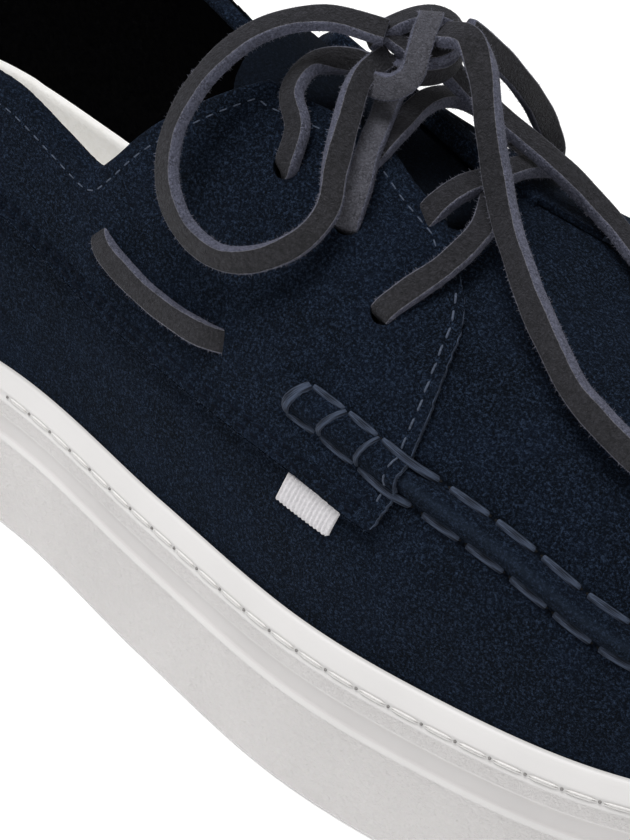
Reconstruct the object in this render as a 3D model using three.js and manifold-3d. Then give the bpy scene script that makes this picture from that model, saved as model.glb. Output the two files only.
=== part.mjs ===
// Boat shoe, right foot, standing empty on its sole. Millimetres, +X to the toe, +Y to the
// inner (medial) side, +Z up. The tables below are laid out from the back of the heel, and the
// last group moves the shoe so that its origin is under the middle of the sole.
import * as THREE from 'three';
import { mergeVertices } from 'three/addons/utils/BufferGeometryUtils.js';
import Module from 'manifold-3d';

const wasm = await Module();
wasm.setup();

// Driving sizes of the sole
const soleLength = 302;
const ballWidth = 112;
const rimHeight = 36;
const toeSpring = 10;
const springStart = 0.7;
const heelFloor = 20;
const ballFloor = 15;

// Driving sizes of the upper
const rimWall = 3.3;
const wall = 2;
const fitGap = 0.3;
const featherDepth = 6;
const instepRise = 75.5;
const collarHeight = 92;
const overlayThickness = 1.2;
const ridgeHeight = 2;
const ridgeHalfWidth = 2.6;

// Driving sizes of the small pieces
const insoleThickness = 4.5;
const insoleEdge = 2;
const tongueThickness = 2;
const laceWidth = 4.2;
const laceThickness = 2.2;
const laceRound = 3.6;
const laceSides = 8;
const laceStep = 8;
const eyeletDiameter = 5;
const tabThickness = 1;
const grooveDepth = 1.6;
const grooveWidth = 2.6;

// Fineness of the forms: stations from heel to toe, rows on the wall and on the top
const stations = 34;
const lowRows = 3;
const topRows = 5;
const stationCrowding = 0.25;

// Outline of the sole from the back of the heel along the outer side to the toe and back:
// shares of the sole's length and of the ball width
const outlineRows = [
  { along: 0.000, across: 0.000 },
  { along: 0.030, across: -0.205 },
  { along: 0.100, across: -0.315 },
  { along: 0.220, across: -0.352 },
  { along: 0.360, across: -0.352 },
  { along: 0.500, across: -0.430 },
  { along: 0.620, across: -0.487 },
  { along: 0.720, across: -0.480 },
  { along: 0.820, across: -0.438 },
  { along: 0.910, across: -0.335 },
  { along: 0.975, across: -0.165 },
  { along: 1.000, across: 0.030 },
  { along: 0.975, across: 0.225 },
  { along: 0.910, across: 0.375 },
  { along: 0.820, across: 0.470 },
  { along: 0.730, across: 0.508 },
  { along: 0.620, across: 0.450 },
  { along: 0.500, across: 0.335 },
  { along: 0.380, across: 0.285 },
  { along: 0.250, across: 0.310 },
  { along: 0.120, across: 0.318 },
  { along: 0.035, across: 0.215 },
];
const toeRow = 11;

// Ridge line of the last: height over the feather edge as a share of the instep rise, place
// across as a share of the ball width, and the power of the section's rounded arch
const lastRows = [
  { along: 0.06, rise: 1.26, across: 0.000, power: 3.00 },
  { along: 0.20, rise: 1.26, across: 0.000, power: 3.00 },
  { along: 0.32, rise: 1.23, across: -0.009, power: 2.70 },
  { along: 0.42, rise: 1.11, across: -0.020, power: 2.30 },
  { along: 0.46, rise: 1.05, across: -0.030, power: 2.10 },
  { along: 0.50, rise: 1.00, across: -0.036, power: 2.00 },
  { along: 0.54, rise: 0.95, across: -0.036, power: 2.00 },
  { along: 0.60, rise: 0.855, across: -0.027, power: 2.10 },
  { along: 0.66, rise: 0.779, across: -0.009, power: 2.35 },
  { along: 0.73, rise: 0.694, across: 0.010, power: 2.60 },
  { along: 0.80, rise: 0.608, across: 0.027, power: 2.60 },
  { along: 0.87, rise: 0.507, across: 0.036, power: 2.60 },
  { along: 0.93, rise: 0.400, across: 0.036, power: 2.60 },
];

// Height of the sewn moccasin ridge over the feather edge, as a share of the instep rise
const seamRows = [
  { along: 0.00, rise: 0.54 },
  { along: 0.58, rise: 0.536 },
  { along: 0.66, rise: 0.503 },
  { along: 0.73, rise: 0.462 },
  { along: 0.80, rise: 0.385 },
  { along: 0.88, rise: 0.320 },
  { along: 0.95, rise: 0.275 },
  { along: 1.00, rise: 0.260 },
];
const ridgeStart = 0.575;

// Top edge seen from the side, from the heel over the low side to the back of the eyelet
// flaps: shares of the length and of the collar height
const toplineRows = [
  { along: -0.03, rise: 1.050 },
  { along: 0.02, rise: 1.045 },
  { along: 0.10, rise: 1.030 },
  { along: 0.20, rise: 1.015 },
  { along: 0.32, rise: 0.998 },
  { along: 0.37, rise: 0.948 },
  { along: 0.395, rise: 0.924 },
  { along: 0.405, rise: 0.928 },
  { along: 0.414, rise: 0.962 },
  { along: 0.4255, rise: 1.018 },
  { along: 0.437, rise: 1.060 },
  { along: 0.460, rise: 1.118 },
  { along: 0.483, rise: 1.155 },
  { along: 0.520, rise: 1.220 },
];

// Lower edge of the saddle overlay seen from the side, from the heel to its front corner
const saddleEdgeRows = [
  { along: -0.03, rise: 0.830 },
  { along: 0.07, rise: 0.822 },
  { along: 0.20, rise: 0.795 },
  { along: 0.34, rise: 0.745 },
  { along: 0.38, rise: 0.708 },
  { along: 0.427, rise: 0.678 },
  { along: 0.475, rise: 0.665 },
  { along: 0.520, rise: 0.657 },
  { along: 0.600, rise: 0.652 },
  { along: 0.640, rise: 0.640 },
  { along: 0.760, rise: 0.620 },
];

// Upper edge of the cupped insole seen from the side
const insoleEdgeRows = [
  { along: -0.03, rise: 0.545 },
  { along: 0.20, rise: 0.515 },
  { along: 0.33, rise: 0.470 },
  { along: 0.50, rise: 0.380 },
  { along: 0.65, rise: 0.310 },
  { along: 0.80, rise: 0.310 },
  { along: 0.90, rise: 0.340 },
  { along: 1.03, rise: 0.400 },
];

// Throat between the eyelet flaps seen from above: shares of length and ball width
const throatRows = [
  { along: 0.400, outer: -0.135, inner: 0.110 },
  { along: 0.483, outer: -0.130, inner: 0.105 },
  { along: 0.543, outer: -0.088, inner: 0.055 },
  { along: 0.570, outer: -0.108, inner: 0.052 },
  { along: 0.595, outer: -0.118, inner: 0.053 },
];
const throatEndRows = [
  { along: 0.604, outer: -0.105, inner: 0.045 },
  { along: 0.609, outer: -0.075, inner: 0.015 },
];

// Front edges of the two eyelet flaps over the vamp, from the throat outwards
const outerFlapRows = [
  { along: 0.619, across: -0.161 },
  { along: 0.634, across: -0.193 },
  { along: 0.643, across: -0.230 },
  { along: 0.652, across: -0.312 },
  { along: 0.656, across: -0.368 },
  { along: 0.656, across: -0.400 },
  { along: 0.651, across: -0.422 },
  { along: 0.644, across: -0.440 },
  { along: 0.634, across: -0.455 },
  { along: 0.634, across: -0.560 },
];
const innerFlapRows = [
  { along: 0.616, across: 0.060 },
  { along: 0.650, across: 0.085 },
  { along: 0.669, across: 0.112 },
  { along: 0.682, across: 0.160 },
  { along: 0.690, across: 0.215 },
  { along: 0.693, across: 0.290 },
  { along: 0.690, across: 0.360 },
  { along: 0.682, across: 0.395 },
  { along: 0.682, across: 0.560 },
];

// Tongue seen from above
const tongueRows = [
  { along: 0.450, outer: -0.065, inner: 0.030 },
  { along: 0.456, outer: -0.120, inner: 0.085 },
  { along: 0.470, outer: -0.165, inner: 0.130 },
  { along: 0.510, outer: -0.190, inner: 0.150 },
  { along: 0.580, outer: -0.170, inner: 0.120 },
  { along: 0.645, outer: -0.125, inner: 0.080 },
];

// Three lace holes in each flap, from the top to the vamp, seen from above
const eyeletRows = [
  { along: 0.511, outer: -0.198, inner: 0.180 },
  { along: 0.558, outer: -0.209, inner: 0.165 },
  { along: 0.602, outer: -0.264, inner: 0.190 },
];

// Side of the sole from the floor up: height and how far the outline is drawn in. The rim
// slopes in over a stitched groove, and a smooth band is sunk between two textured ones
const soleSideRows = [
  { height: 0.000, inset: 1.0 },
  { height: 0.035, inset: 0.0 },
  { height: 0.600, inset: 0.0 },
  { height: 0.625, inset: 0.8 },
  { height: 0.735, inset: 0.8 },
  { height: 0.755, inset: 0.2 },
  { height: 0.855, inset: 0.2 },
  { height: 0.872, inset: 1.0 },
  { height: 0.900, inset: 1.0 },
  { height: 0.912, inset: 0.4 },
  { height: 0.985, inset: 2.4 },
  { height: 1.000, inset: rimWall },
];

// Flex grooves across the bottom, as shares of the length
const flexGrooves = [0.07, 0.13, 0.19, 0.56, 0.60, 0.64, 0.68];
const archPocket = { from: 0.27, to: 0.48, half: 0.15, depth: 1.4 };

// Stretch of the collar lace that shows on each side, seen from the side
const collarLaceRows = [
  { along: 0.414, rise: 0.818 },
  { along: 0.467, rise: 0.793 },
  { along: 0.522, rise: 0.779 },
];

// Ribbed ribbon tab under the outer saddle's lower edge, seen from the side
const tabRows = [
  { along: 0.591, rise: 0.645 },
  { along: 0.629, rise: 0.638 },
  { along: 0.6245, rise: 0.580 },
  { along: 0.586, rise: 0.588 },
];

// Routes of the lace, chosen by hand: across the throat, and out of the bow's knot. They were
// laid out with the last's ridge line at laceBase where it passes the share laceAlong
const laceAlong = 0.54;
const laceBase = [163.08, -4.032, 101.725];
const knot = { centre: [163.5, -2, 116.5], radii: [9.5, 8.5, 6.4] };
const frontCrossing = [[178.8, -10.4, 98.6], [181, -1.8, 98.9], [182.2, 7, 98], [183.2, 12.5, 96.4], [183.9, 18, 93.6]];
const frontBar = [[182.6, -27.6, 91.6], [185.4, -22.4, 93.9], [187, -12.1, 96.7], [184.6, -6, 97.8], [181.6, -1, 98.8]];
const rearCrossing = [[165.6, -7.6, 104.6], [165, 2, 105.6], [166, 10, 103.2], [168.4, 15.2, 100]];
const rearBar = [[168, -21.2, 99.2], [165.6, -16, 103], [163, -9, 105.7], [159.5, -1, 107.3], [156.4, 8, 105.6],
  [155, 16, 102]];
const topBar = [[153.4, -19.6, 103.7], [149.6, -17, 107.6], [149, -11, 110.4], [153.5, -5, 110.6], [158.6, -1.5, 109]];
const outerLoop = [[160, -7, 119.6], [150.5, -11.5, 120], [143, -18.5, 117], [139.5, -27, 111], [138.4, -33.6, 102],
  [141.2, -37.6, 94.6], [146.6, -39.4, 89.6], [153.8, -39.6, 87.6], [160, -38, 89], [166, -33.6, 93.4],
  [167.4, -28.6, 98], [165, -24.4, 103], [162, -18.4, 108.6], [159.8, -12.4, 113], [160.4, -6, 115]];
const innerLoop = [[168.6, 4.2, 119.6], [170.5, 7.3, 116.6], [172.6, 11.9, 112], [174.7, 16.1, 107], [175.7, 20.7, 101.5],
  [176.5, 24.8, 95.6], [177.2, 26.9, 90.9], [176.4, 27.7, 87.4], [172.7, 28.3, 87.4], [168.3, 26.7, 90.3],
  [164.6, 21.8, 95.7], [162.1, 15.3, 102.7], [161.6, 8.4, 111]];
const outerEnd = [[168, -2.4, 121], [173, -3, 122.4], [177.6, -4.6, 119.4], [182.4, -7.6, 112.4], [186.6, -9.4, 105],
  [191.4, -12.4, 100], [197, -16.6, 97.4], [203, -20.6, 94.4], [209.6, -23.8, 90.8], [216.6, -27, 87.6],
  [222.8, -28.4, 85.6], [229, -29, 83.6], [240, -29.6, 80.6]];
const innerEnd = [[166.2, 3.4, 112.1], [170, 6.2, 107.7], [174.9, 8.1, 104.6], [180.6, 8.8, 102.4], [186.2, 9.1, 100.4],
  [190.4, 10.3, 97.9], [194.1, 11.5, 95.1], [198.9, 11.1, 93], [206.2, 8.2, 91.3], [214.8, 3.9, 90.4]];

const featherInset = rimWall + fitGap;
const featherHeight = rimHeight - featherDepth;
const clear = 300;

// A smooth curve through one column of a table
function tableValue(rows, key, share) {
  const last = rows.length - 1;
  const x = Math.min(Math.max(share, rows[0].along), rows[last].along);
  let i = 0;
  while (i < last - 1 && x > rows[i + 1].along) i += 1;
  const slope = (k) => {
    const a = rows[Math.max(k - 1, 0)];
    const b = rows[Math.min(k + 1, last)];
    return (b[key] - a[key]) / (b.along - a.along);
  };
  const p = rows[i];
  const q = rows[i + 1];
  const step = q.along - p.along;
  const u = (x - p.along) / step;
  const w = u * u * (3 - 2 * u);
  const startBend = u * (1 - u) * (1 - u) * step * slope(i);
  const endBend = u * u * (u - 1) * step * slope(i + 1);
  return p[key] * (1 - w) + q[key] * w + startBend + endBend;
}

function smoothStep(from, to, x) {
  const u = Math.min(Math.max((x - from) / (to - from), 0), 1);
  return u * u * (3 - 2 * u);
}

// The sole's outline, with equal steps along it
const outlineCurve = new THREE.CatmullRomCurve3(
  outlineRows.map((row) => new THREE.Vector3(row.along * soleLength, row.across * ballWidth, 0)),
  true, 'catmullrom', 0.5,
);
outlineCurve.arcLengthDivisions = 2200;
const outlineLengths = outlineCurve.getLengths();
const toeShare = outlineLengths[toeRow * 100] / outlineLengths[2200];

// Lift of the bottom under the toe, and height of the cup's floor
function spring(x) {
  const past = Math.max((x / soleLength - springStart) / (1 - springStart), 0);
  return toeSpring * past * past;
}

function cupFloor(x) {
  return heelFloor + (ballFloor - heelFloor) * smoothStep(0.25, 0.6, x / soleLength) + spring(x);
}

// A point of the outline drawn in by inset; s runs from heel to toe, side -1 is the outer one
function outlinePoint(s, side, inset) {
  const t = side < 0 ? s * toeShare : 1 - s * (1 - toeShare);
  const u = outlineCurve.getUtoTmapping(((t % 1) + 1) % 1);
  const p = outlineCurve.getPoint(u);
  const d = outlineCurve.getTangent(u);
  return new THREE.Vector2(p.x - d.y * inset, p.y + d.x * inset);
}

function ridgeHeightAt(along) {
  return featherHeight + tableValue(lastRows, 'rise', along) * instepRise + spring(along * soleLength);
}

// The last's surface; v runs from the feather edge up to the ridge line, and near the toe the
// ribs run into that line with its own fall
function rib(s, side) {
  const edge = outlinePoint(s, side, featherInset);
  const other = outlinePoint(s, -side, featherInset);
  const share = (edge.x + other.x) / 2 / soleLength;
  const along = lastRows[0].along + share * (lastRows.at(-1).along - lastRows[0].along);
  const x = along * soleLength;
  const fall = (ridgeHeightAt(along) - ridgeHeightAt(along - 0.01)) / (0.01 * soleLength);
  return {
    edge,
    base: featherHeight + spring(edge.x),
    top: new THREE.Vector3(x, tableValue(lastRows, 'across', along) * ballWidth, ridgeHeightAt(along)),
    power: tableValue(lastRows, 'power', along),
    fall: fall * smoothStep(0.7, 0.88, along),
  };
}

function ribPoint(line, v) {
  const turn = v * Math.PI / 2;
  const inward = 1 - Math.max(Math.cos(turn), 0) ** (2 / line.power);
  const upward = Math.sin(turn) ** (2 / line.power);
  const ahead = line.edge.x - line.top.x;
  return new THREE.Vector3(
    line.edge.x + (line.top.x - line.edge.x) * inward,
    line.edge.y + (line.top.y - line.edge.y) * inward,
    line.base + (line.top.z - line.base + line.fall * ahead) * upward - line.fall * ahead * inward,
  );
}

function lastPoint(s, side, v) {
  if (s < 0) return lastPoint(-s, -side, v);
  if (s > 1) return lastPoint(2 - s, -side, v);
  if (v > 1) return lastPoint(s, -side, 2 - v);
  return ribPoint(rib(s, side), v);
}

function lastNormal(s, side, v) {
  const e = 0.004;
  const low = Math.max(v, e);
  const alongIt = lastPoint(s + e, side, low).sub(lastPoint(s - e, side, low));
  const upIt = lastPoint(s, side, low + e).sub(lastPoint(s, side, low - e));
  return alongIt.cross(upIt).multiplyScalar(-side).normalize();
}

// The moccasin ridge: its row on a rib, its half width in v, and its height there
function seamOnRib(line) {
  const rise = tableValue(seamRows, 'rise', line.edge.x / soleLength) * instepRise;
  const share = Math.min(rise / (line.top.z - line.base), 0.97);
  const v = Math.asin(share ** (line.power / 2)) / (Math.PI / 2);
  const speed = ribPoint(line, v + 0.01).distanceTo(ribPoint(line, v - 0.01)) / 0.02;
  const height = ridgeHeight * smoothStep(ridgeStart - 0.01, ridgeStart + 0.01, line.edge.x / soleLength);
  return { v, half: ridgeHalfWidth / speed, height };
}

// Rows of a rib from the feather edge to the top; the ridge has rows of its own with extra height
function ribRows(line, withRidge) {
  const seam = seamOnRib(line);
  const half = withRidge ? seam.half : 0;
  const rows = [];
  for (let k = 0; k < lowRows; k += 1) rows.push({ v: (seam.v - half) * k / lowRows, extra: 0 });
  for (const part of withRidge ? [-1, -0.55, 0, 0.55, 1] : [0]) {
    rows.push({ v: seam.v + half * part, extra: withRidge ? seam.height * (1 - part * part) : 0 });
  }
  const start = seam.v + half;
  for (let k = 1; k <= topRows; k += 1) rows.push({ v: start + (1 - start) * k / topRows, extra: 0 });
  return rows;
}

// Stations from heel to toe, closer together at the two round ends
function stationShare(i) {
  const u = i / stations;
  return u - stationCrowding * Math.sin(2 * Math.PI * u) / (2 * Math.PI);
}

// Closed solid from a grid of points whose rows close over the ends and along the bottom
function gridSolid(grid) {
  const positions = [];
  const put = (a, b, c) => positions.push(...a.toArray(), ...b.toArray(), ...c.toArray());
  const quad = (a, b, c, d) => {
    put(a, b, c);
    put(a, c, d);
  };
  for (let i = 0; i + 1 < grid.length; i += 1) {
    const row = grid[i];
    const next = grid[i + 1];
    for (let j = 0; j < row.length; j += 1) {
      const k = (j + 1) % row.length;
      quad(row[j], next[j], next[k], row[k]);
    }
  }
  const geometry = new THREE.BufferGeometry();
  geometry.setAttribute('position', new THREE.Float32BufferAttribute(positions, 3));
  return solidOf(geometry);
}

function solidOf(source) {
  const bare = source.clone();
  bare.deleteAttribute('normal');
  bare.deleteAttribute('uv');
  const merged = mergeVertices(bare, 1e-4);
  const index = merged.index.array;
  const kept = [];
  for (let i = 0; i < index.length; i += 3) {
    const [a, b, c] = [index[i], index[i + 1], index[i + 2]];
    if (a !== b && b !== c && c !== a) kept.push(a, b, c);
  }
  return new wasm.Manifold(new wasm.Mesh({
    numProp: 3,
    vertProperties: Float32Array.from(merged.attributes.position.array),
    triVerts: Uint32Array.from(kept),
  }));
}

function geometryOf(solid) {
  const mesh = solid.getMesh();
  const geometry = new THREE.BufferGeometry();
  geometry.setAttribute('position', new THREE.BufferAttribute(Float32Array.from(mesh.vertProperties), 3));
  geometry.setIndex(new THREE.BufferAttribute(Uint32Array.from(mesh.triVerts), 1));
  geometry.computeVertexNormals();
  return geometry;
}

// The last as a solid, grown by offset along its normals, with straight skirts down to bottom(x)
function lastForm(offset, bottom, withRidge) {
  const grid = [];
  for (let i = 0; i <= stations; i += 1) {
    const s = stationShare(i);
    const half = (side) => {
      const line = rib(s, side);
      const points = ribRows(line, withRidge).map(
        (row) => ribPoint(line, row.v).addScaledVector(lastNormal(s, side, row.v), offset + row.extra),
      );
      const foot = points[0].clone();
      foot.z = bottom(foot.x);
      return [foot, ...points];
    };
    const outer = half(-1);
    const inner = i === 0 || i === stations ? outer : half(1);
    grid.push([...outer, ...inner.slice(0, -1).reverse()]);
  }
  return gridSolid(grid);
}

// A shape seen from the side, as a slab through the shoe, and one seen from above
function sideSlab(points) {
  const shape = new THREE.Shape(points.map(([x, z]) => new THREE.Vector2(x, z)));
  const slab = new THREE.ExtrudeGeometry(shape, { depth: clear, bevelEnabled: false });
  slab.rotateX(Math.PI / 2);
  slab.translate(0, clear / 2, 0);
  return solidOf(slab);
}

function planSlab(points, low) {
  const shape = new THREE.Shape(points.map(([x, y]) => new THREE.Vector2(x, y)));
  const slab = new THREE.ExtrudeGeometry(shape, { depth: clear, bevelEnabled: false });
  slab.translate(0, 0, low);
  return solidOf(slab);
}

function sideLine(rows, height) {
  return rows.map((row) => [row.along * soleLength, row.rise * height]);
}

function planLine(rows, key) {
  return rows.map((row) => [row.along * soleLength, row[key] * ballWidth]);
}

// Everything over a side line, and everything under it
function over(line) {
  return sideSlab([...line, [line.at(-1)[0], clear], [line[0][0], clear]]);
}

function under(line) {
  return sideSlab([...line, [line.at(-1)[0], -clear], [line[0][0], -clear]]);
}

// A closed strip of the last between two offsets
function layer(innerOffset, thickness) {
  const outerForm = lastForm(innerOffset + thickness, () => 0, true);
  return outerForm.subtract(lastForm(innerOffset, () => -clear, true));
}

// The point of the outer surface over a place seen from above
function pointOver(x, y, side, offset) {
  let s = x / soleLength;
  let v = 0.6;
  for (let k = 0; k < 40; k += 1) {
    const line = rib(s, side);
    const across = (y - line.edge.y) / (line.top.y - line.edge.y);
    const wanted = Math.acos(Math.min(Math.max(1 - across, 0), 1) ** (line.power / 2)) / (Math.PI / 2);
    v += (wanted - v) * 0.7;
    s += (x - ribPoint(line, v).x) / soleLength * 0.7;
  }
  const normal = lastNormal(s, side, v);
  return { point: lastPoint(s, side, v).addScaledVector(normal, offset), normal };
}

function holeCutter(x, y, side, diameter) {
  const { point, normal } = pointOver(x, y, side, 0);
  const pin = new THREE.CylinderGeometry(diameter / 2, diameter / 2, 16, 12);
  pin.applyQuaternion(new THREE.Quaternion().setFromUnitVectors(new THREE.Vector3(0, 1, 0), normal));
  pin.translate(point.x, point.y, point.z);
  return solidOf(pin);
}

function eyeletCutters() {
  const pins = [];
  for (const row of eyeletRows) {
    pins.push(holeCutter(row.along * soleLength, row.outer * ballWidth, -1, eyeletDiameter));
    pins.push(holeCutter(row.along * soleLength, row.inner * ballWidth, 1, eyeletDiameter));
  }
  return pins;
}

function cutAll(solid, cutters) {
  return cutters.reduce((left, cutter) => left.subtract(cutter), solid);
}

// Cup sole: rings of the outline up the side, over the rim and down to the cup's floor
function makeSole() {
  const rows = soleSideRows.map((row) => ({ z: row.height * rimHeight, inset: row.inset }));
  const grid = [];
  for (let i = 0; i <= stations; i += 1) {
    const s = stationShare(i);
    const half = (side) => {
      const ring = rows.map(({ z, inset }) => {
        const p = outlinePoint(s, side, inset);
        return new THREE.Vector3(p.x, p.y, z + spring(p.x));
      });
      const p = outlinePoint(s, side, rimWall);
      ring.push(new THREE.Vector3(p.x, p.y, cupFloor(p.x)));
      return ring;
    };
    const outer = half(-1);
    const inner = i === 0 || i === stations ? outer : half(1);
    grid.push([...outer, ...inner.slice().reverse()]);
  }
  const cutters = flexGrooves.map((share) => {
    const bar = new THREE.BoxGeometry(grooveWidth, ballWidth * 1.2, grooveDepth * 2);
    bar.translate(share * soleLength, 0, 0);
    return solidOf(bar);
  });
  const pocketLength = (archPocket.to - archPocket.from) * soleLength;
  const pocket = new THREE.BoxGeometry(pocketLength, archPocket.half * 2 * ballWidth, archPocket.depth * 2);
  pocket.translate((archPocket.from + archPocket.to) / 2 * soleLength, 0, 0);
  cutters.push(solidOf(pocket));
  return cutAll(gridSolid(grid), cutters);
}

const throat = [...throatRows, ...throatEndRows];
const topCut = over(sideLine(toplineRows, collarHeight));
const throatCut = planSlab(
  [...planLine(throat, 'outer'), ...planLine(throat, 'inner').reverse()],
  collarHeight * 0.8,
);
const pins = eyeletCutters();

function makeUpper() {
  const outside = lastForm(0, (x) => cupFloor(x) + fitGap, true);
  const inside = lastForm(-wall, (x) => cupFloor(x) - 20, false);
  return cutAll(outside.subtract(inside), [topCut, throatCut, ...pins]);
}

function makeInsole() {
  const under0 = -wall - fitGap;
  const outside = lastForm(under0, (x) => cupFloor(x) + fitGap, false);
  const inside = lastForm(under0 - insoleEdge, (x) => cupFloor(x) + fitGap + insoleThickness, false);
  return outside.subtract(inside).intersect(under(sideLine(insoleEdgeRows, collarHeight)));
}

function makeTongue() {
  const outline = [...planLine(tongueRows, 'outer'), ...planLine(tongueRows, 'inner').reverse()];
  const outside = lastForm(-wall - fitGap, () => 0, false);
  const inside = lastForm(-wall - fitGap - tongueThickness, () => -clear, false);
  return outside.subtract(inside).intersect(planSlab(outline, collarHeight * 0.8));
}

// Saddle overlays: one on each side, from the flap's front edge back to the heel seam
function makeSaddle(side) {
  const key = side < 0 ? 'outer' : 'inner';
  const flap = side < 0 ? outerFlapRows : innerFlapRows;
  const edge = [...planLine(throatRows, key), ...planLine(flap, 'across')];
  const heel = -0.04 * soleLength;
  const seamGap = side * fitGap / 2;
  const outline = [[heel, seamGap], [throatRows[0].along * soleLength, seamGap], ...edge,
    [heel, edge.at(-1)[1]]];
  return cutAll(
    layer(fitGap, overlayThickness)
      .intersect(planSlab(outline, 0))
      .intersect(over(sideLine(saddleEdgeRows, collarHeight))),
    [topCut, ...pins],
  );
}

// A strip of the lace that lies in the saddle's side, with round ends
function makeCollarLace(side) {
  const line = sideLine(collarLaceRows, collarHeight);
  const half = laceWidth / 2;
  const [first, last] = [line[0], line.at(-1)];
  const upper = line.map(([x, z]) => [x, z + half]);
  const lower = line.map(([x, z]) => [x, z - half]).reverse();
  const outline = [...upper, [last[0] + half * 0.8, last[1]], ...lower, [first[0] - half * 0.8, first[1]]];
  const strip = layer(fitGap * 2 + overlayThickness, laceThickness).intersect(sideSlab(outline));
  const far = side * clear / 2;
  const keep = new THREE.BoxGeometry(clear * 3, clear, clear);
  keep.translate(0, far, 0);
  return strip.intersect(solidOf(keep));
}

function makeTab() {
  const keep = new THREE.BoxGeometry(clear * 3, clear, clear);
  keep.translate(0, -clear / 2, 0);
  const outline = sideLine(tabRows, collarHeight);
  return layer(fitGap, tabThickness).intersect(sideSlab(outline)).intersect(solidOf(keep));
}

// The lace moves with the ridge line of the last
const laceMove = new THREE.Vector3(
  laceAlong * soleLength,
  tableValue(lastRows, 'across', laceAlong) * ballWidth,
  ridgeHeightAt(laceAlong),
).sub(new THREE.Vector3(...laceBase));

// A plain tube along a route of the lace
function laceTube(route) {
  const curve = new THREE.CatmullRomCurve3(route.map((p) => new THREE.Vector3(...p)), false, 'centripetal');
  const corners = [];
  for (let k = 0; k < laceSides; k += 1) {
    const turn = (k + 0.5) / laceSides * 2 * Math.PI;
    corners.push(new THREE.Vector2(Math.cos(turn), Math.sin(turn)).multiplyScalar(laceRound / 2));
  }
  const steps = Math.max(Math.round(curve.getLength() / laceStep), 3);
  const options = { steps, extrudePath: curve, bevelEnabled: false };
  const tube = new THREE.ExtrudeGeometry(new THREE.Shape(corners), options);
  tube.translate(...laceMove);
  return solidOf(tube);
}

function knotSolid(grow) {
  const ball = new THREE.SphereGeometry(1, 14, 10);
  ball.scale(...knot.radii.map((radius) => radius + grow));
  ball.translate(...knot.centre);
  ball.translate(...laceMove);
  return solidOf(ball);
}

// Lace pieces end against the knot
function laceSolid(...routes) {
  const joined = routes.map(laceTube).reduce((left, right) => left.add(right));
  return joined.subtract(knotSolid(fitGap));
}

const material = (color, roughness) => new THREE.MeshStandardMaterial({ color, roughness, metalness: 0 });
const suede = material('#16202f', 0.95);
const laceLeather = material('#4a4849', 0.8);
const rubber = material('#dcdad6', 0.6);
const footbed = material('#e6e2da', 0.75);
const ribbon = material('#d9d5cb', 0.8);

const shoe = new THREE.Group();
function addPiece(name, solid, look) {
  const mesh = new THREE.Mesh(geometryOf(solid), look);
  mesh.name = name;
  shoe.add(mesh);
}

addPiece('cup_sole', makeSole(), rubber);
addPiece('upper', makeUpper(), suede);
addPiece('insole', makeInsole(), footbed);
addPiece('tongue', makeTongue(), suede);
addPiece('saddle_outer', makeSaddle(-1), suede);
addPiece('saddle_inner', makeSaddle(1), suede);
addPiece('collar_lace_outer', makeCollarLace(-1), laceLeather);
addPiece('collar_lace_inner', makeCollarLace(1), laceLeather);
addPiece('ribbon_tab', makeTab(), ribbon);
addPiece('lace_bars_front', laceSolid(frontCrossing, frontBar), laceLeather);
addPiece('lace_bars_rear', laceSolid(rearCrossing, rearBar, topBar), laceLeather);
addPiece('bow_knot', knotSolid(0), laceLeather);
addPiece('bow_loop_outer', laceSolid(outerLoop), laceLeather);
addPiece('bow_loop_inner', laceSolid(innerLoop), laceLeather);
addPiece('lace_end_outer', laceSolid(outerEnd), laceLeather);
addPiece('lace_end_inner', laceSolid(innerEnd), laceLeather);

// The origin goes under the middle of the sole
const ring = Array.from({ length: 401 }, (_, i) => outlineCurve.getPoint(i / 400));
const middle = (Math.max(...ring.map((p) => p.y)) + Math.min(...ring.map((p) => p.y))) / 2;
shoe.position.set(-soleLength / 2, -middle, 0);

export default shoe;
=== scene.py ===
# %% [markdown]
# A boat shoe for the right foot, standing empty on its sole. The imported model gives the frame:
# every piece below is laid over its solid, from the same measured tables, and is then given
# the finer form and the finish that the real piece has.
# %% Load the frame
import math

import bmesh
import bpy
import numpy as np
from mathutils import Matrix, Vector


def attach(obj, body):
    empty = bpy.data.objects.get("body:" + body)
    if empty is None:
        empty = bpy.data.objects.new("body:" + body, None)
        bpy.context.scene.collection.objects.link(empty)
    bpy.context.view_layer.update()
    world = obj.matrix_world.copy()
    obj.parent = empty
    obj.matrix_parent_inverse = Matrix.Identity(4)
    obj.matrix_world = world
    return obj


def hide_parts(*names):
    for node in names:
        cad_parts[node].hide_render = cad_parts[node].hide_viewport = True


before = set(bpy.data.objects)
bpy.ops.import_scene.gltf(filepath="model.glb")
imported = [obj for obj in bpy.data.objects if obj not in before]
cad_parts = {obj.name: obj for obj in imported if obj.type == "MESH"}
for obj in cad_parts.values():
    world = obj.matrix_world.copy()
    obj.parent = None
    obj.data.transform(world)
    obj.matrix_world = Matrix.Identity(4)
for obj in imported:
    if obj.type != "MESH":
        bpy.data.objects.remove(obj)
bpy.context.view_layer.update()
print("nodes:", sorted(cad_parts))

# %% [markdown]
# The shoe's form is a few tables of shares, read by smooth curves. They are the last that a
# shoe is built on: an outline seen from above, a ridge line along the top, and rounded ribs
# that run from the one to the other. Lengths are in millimetres from the back of the heel,
# x to the toe, y to the inner side and z up.
# %% Sizes and tables of the last
sole_length, ball_width, rim_height = 302.0, 112.0, 36.0
toe_spring, spring_start = 10.0, 0.7
heel_floor, ball_floor = 20.0, 15.0
rim_wall, fit_gap, wall = 3.3, 0.3, 2.0
feather_height, feather_inset = rim_height - 6.0, rim_wall + fit_gap
instep_rise, collar_height = 75.5, 92.0
ridge_height, ridge_half = 2.0, 2.6
overlay = 1.2
on_saddle = fit_gap + overlay
tongue_start, tongue_end, tongue_thickness = 0.450, 0.645, 2.0
eyelet_radius = 2.35

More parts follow.
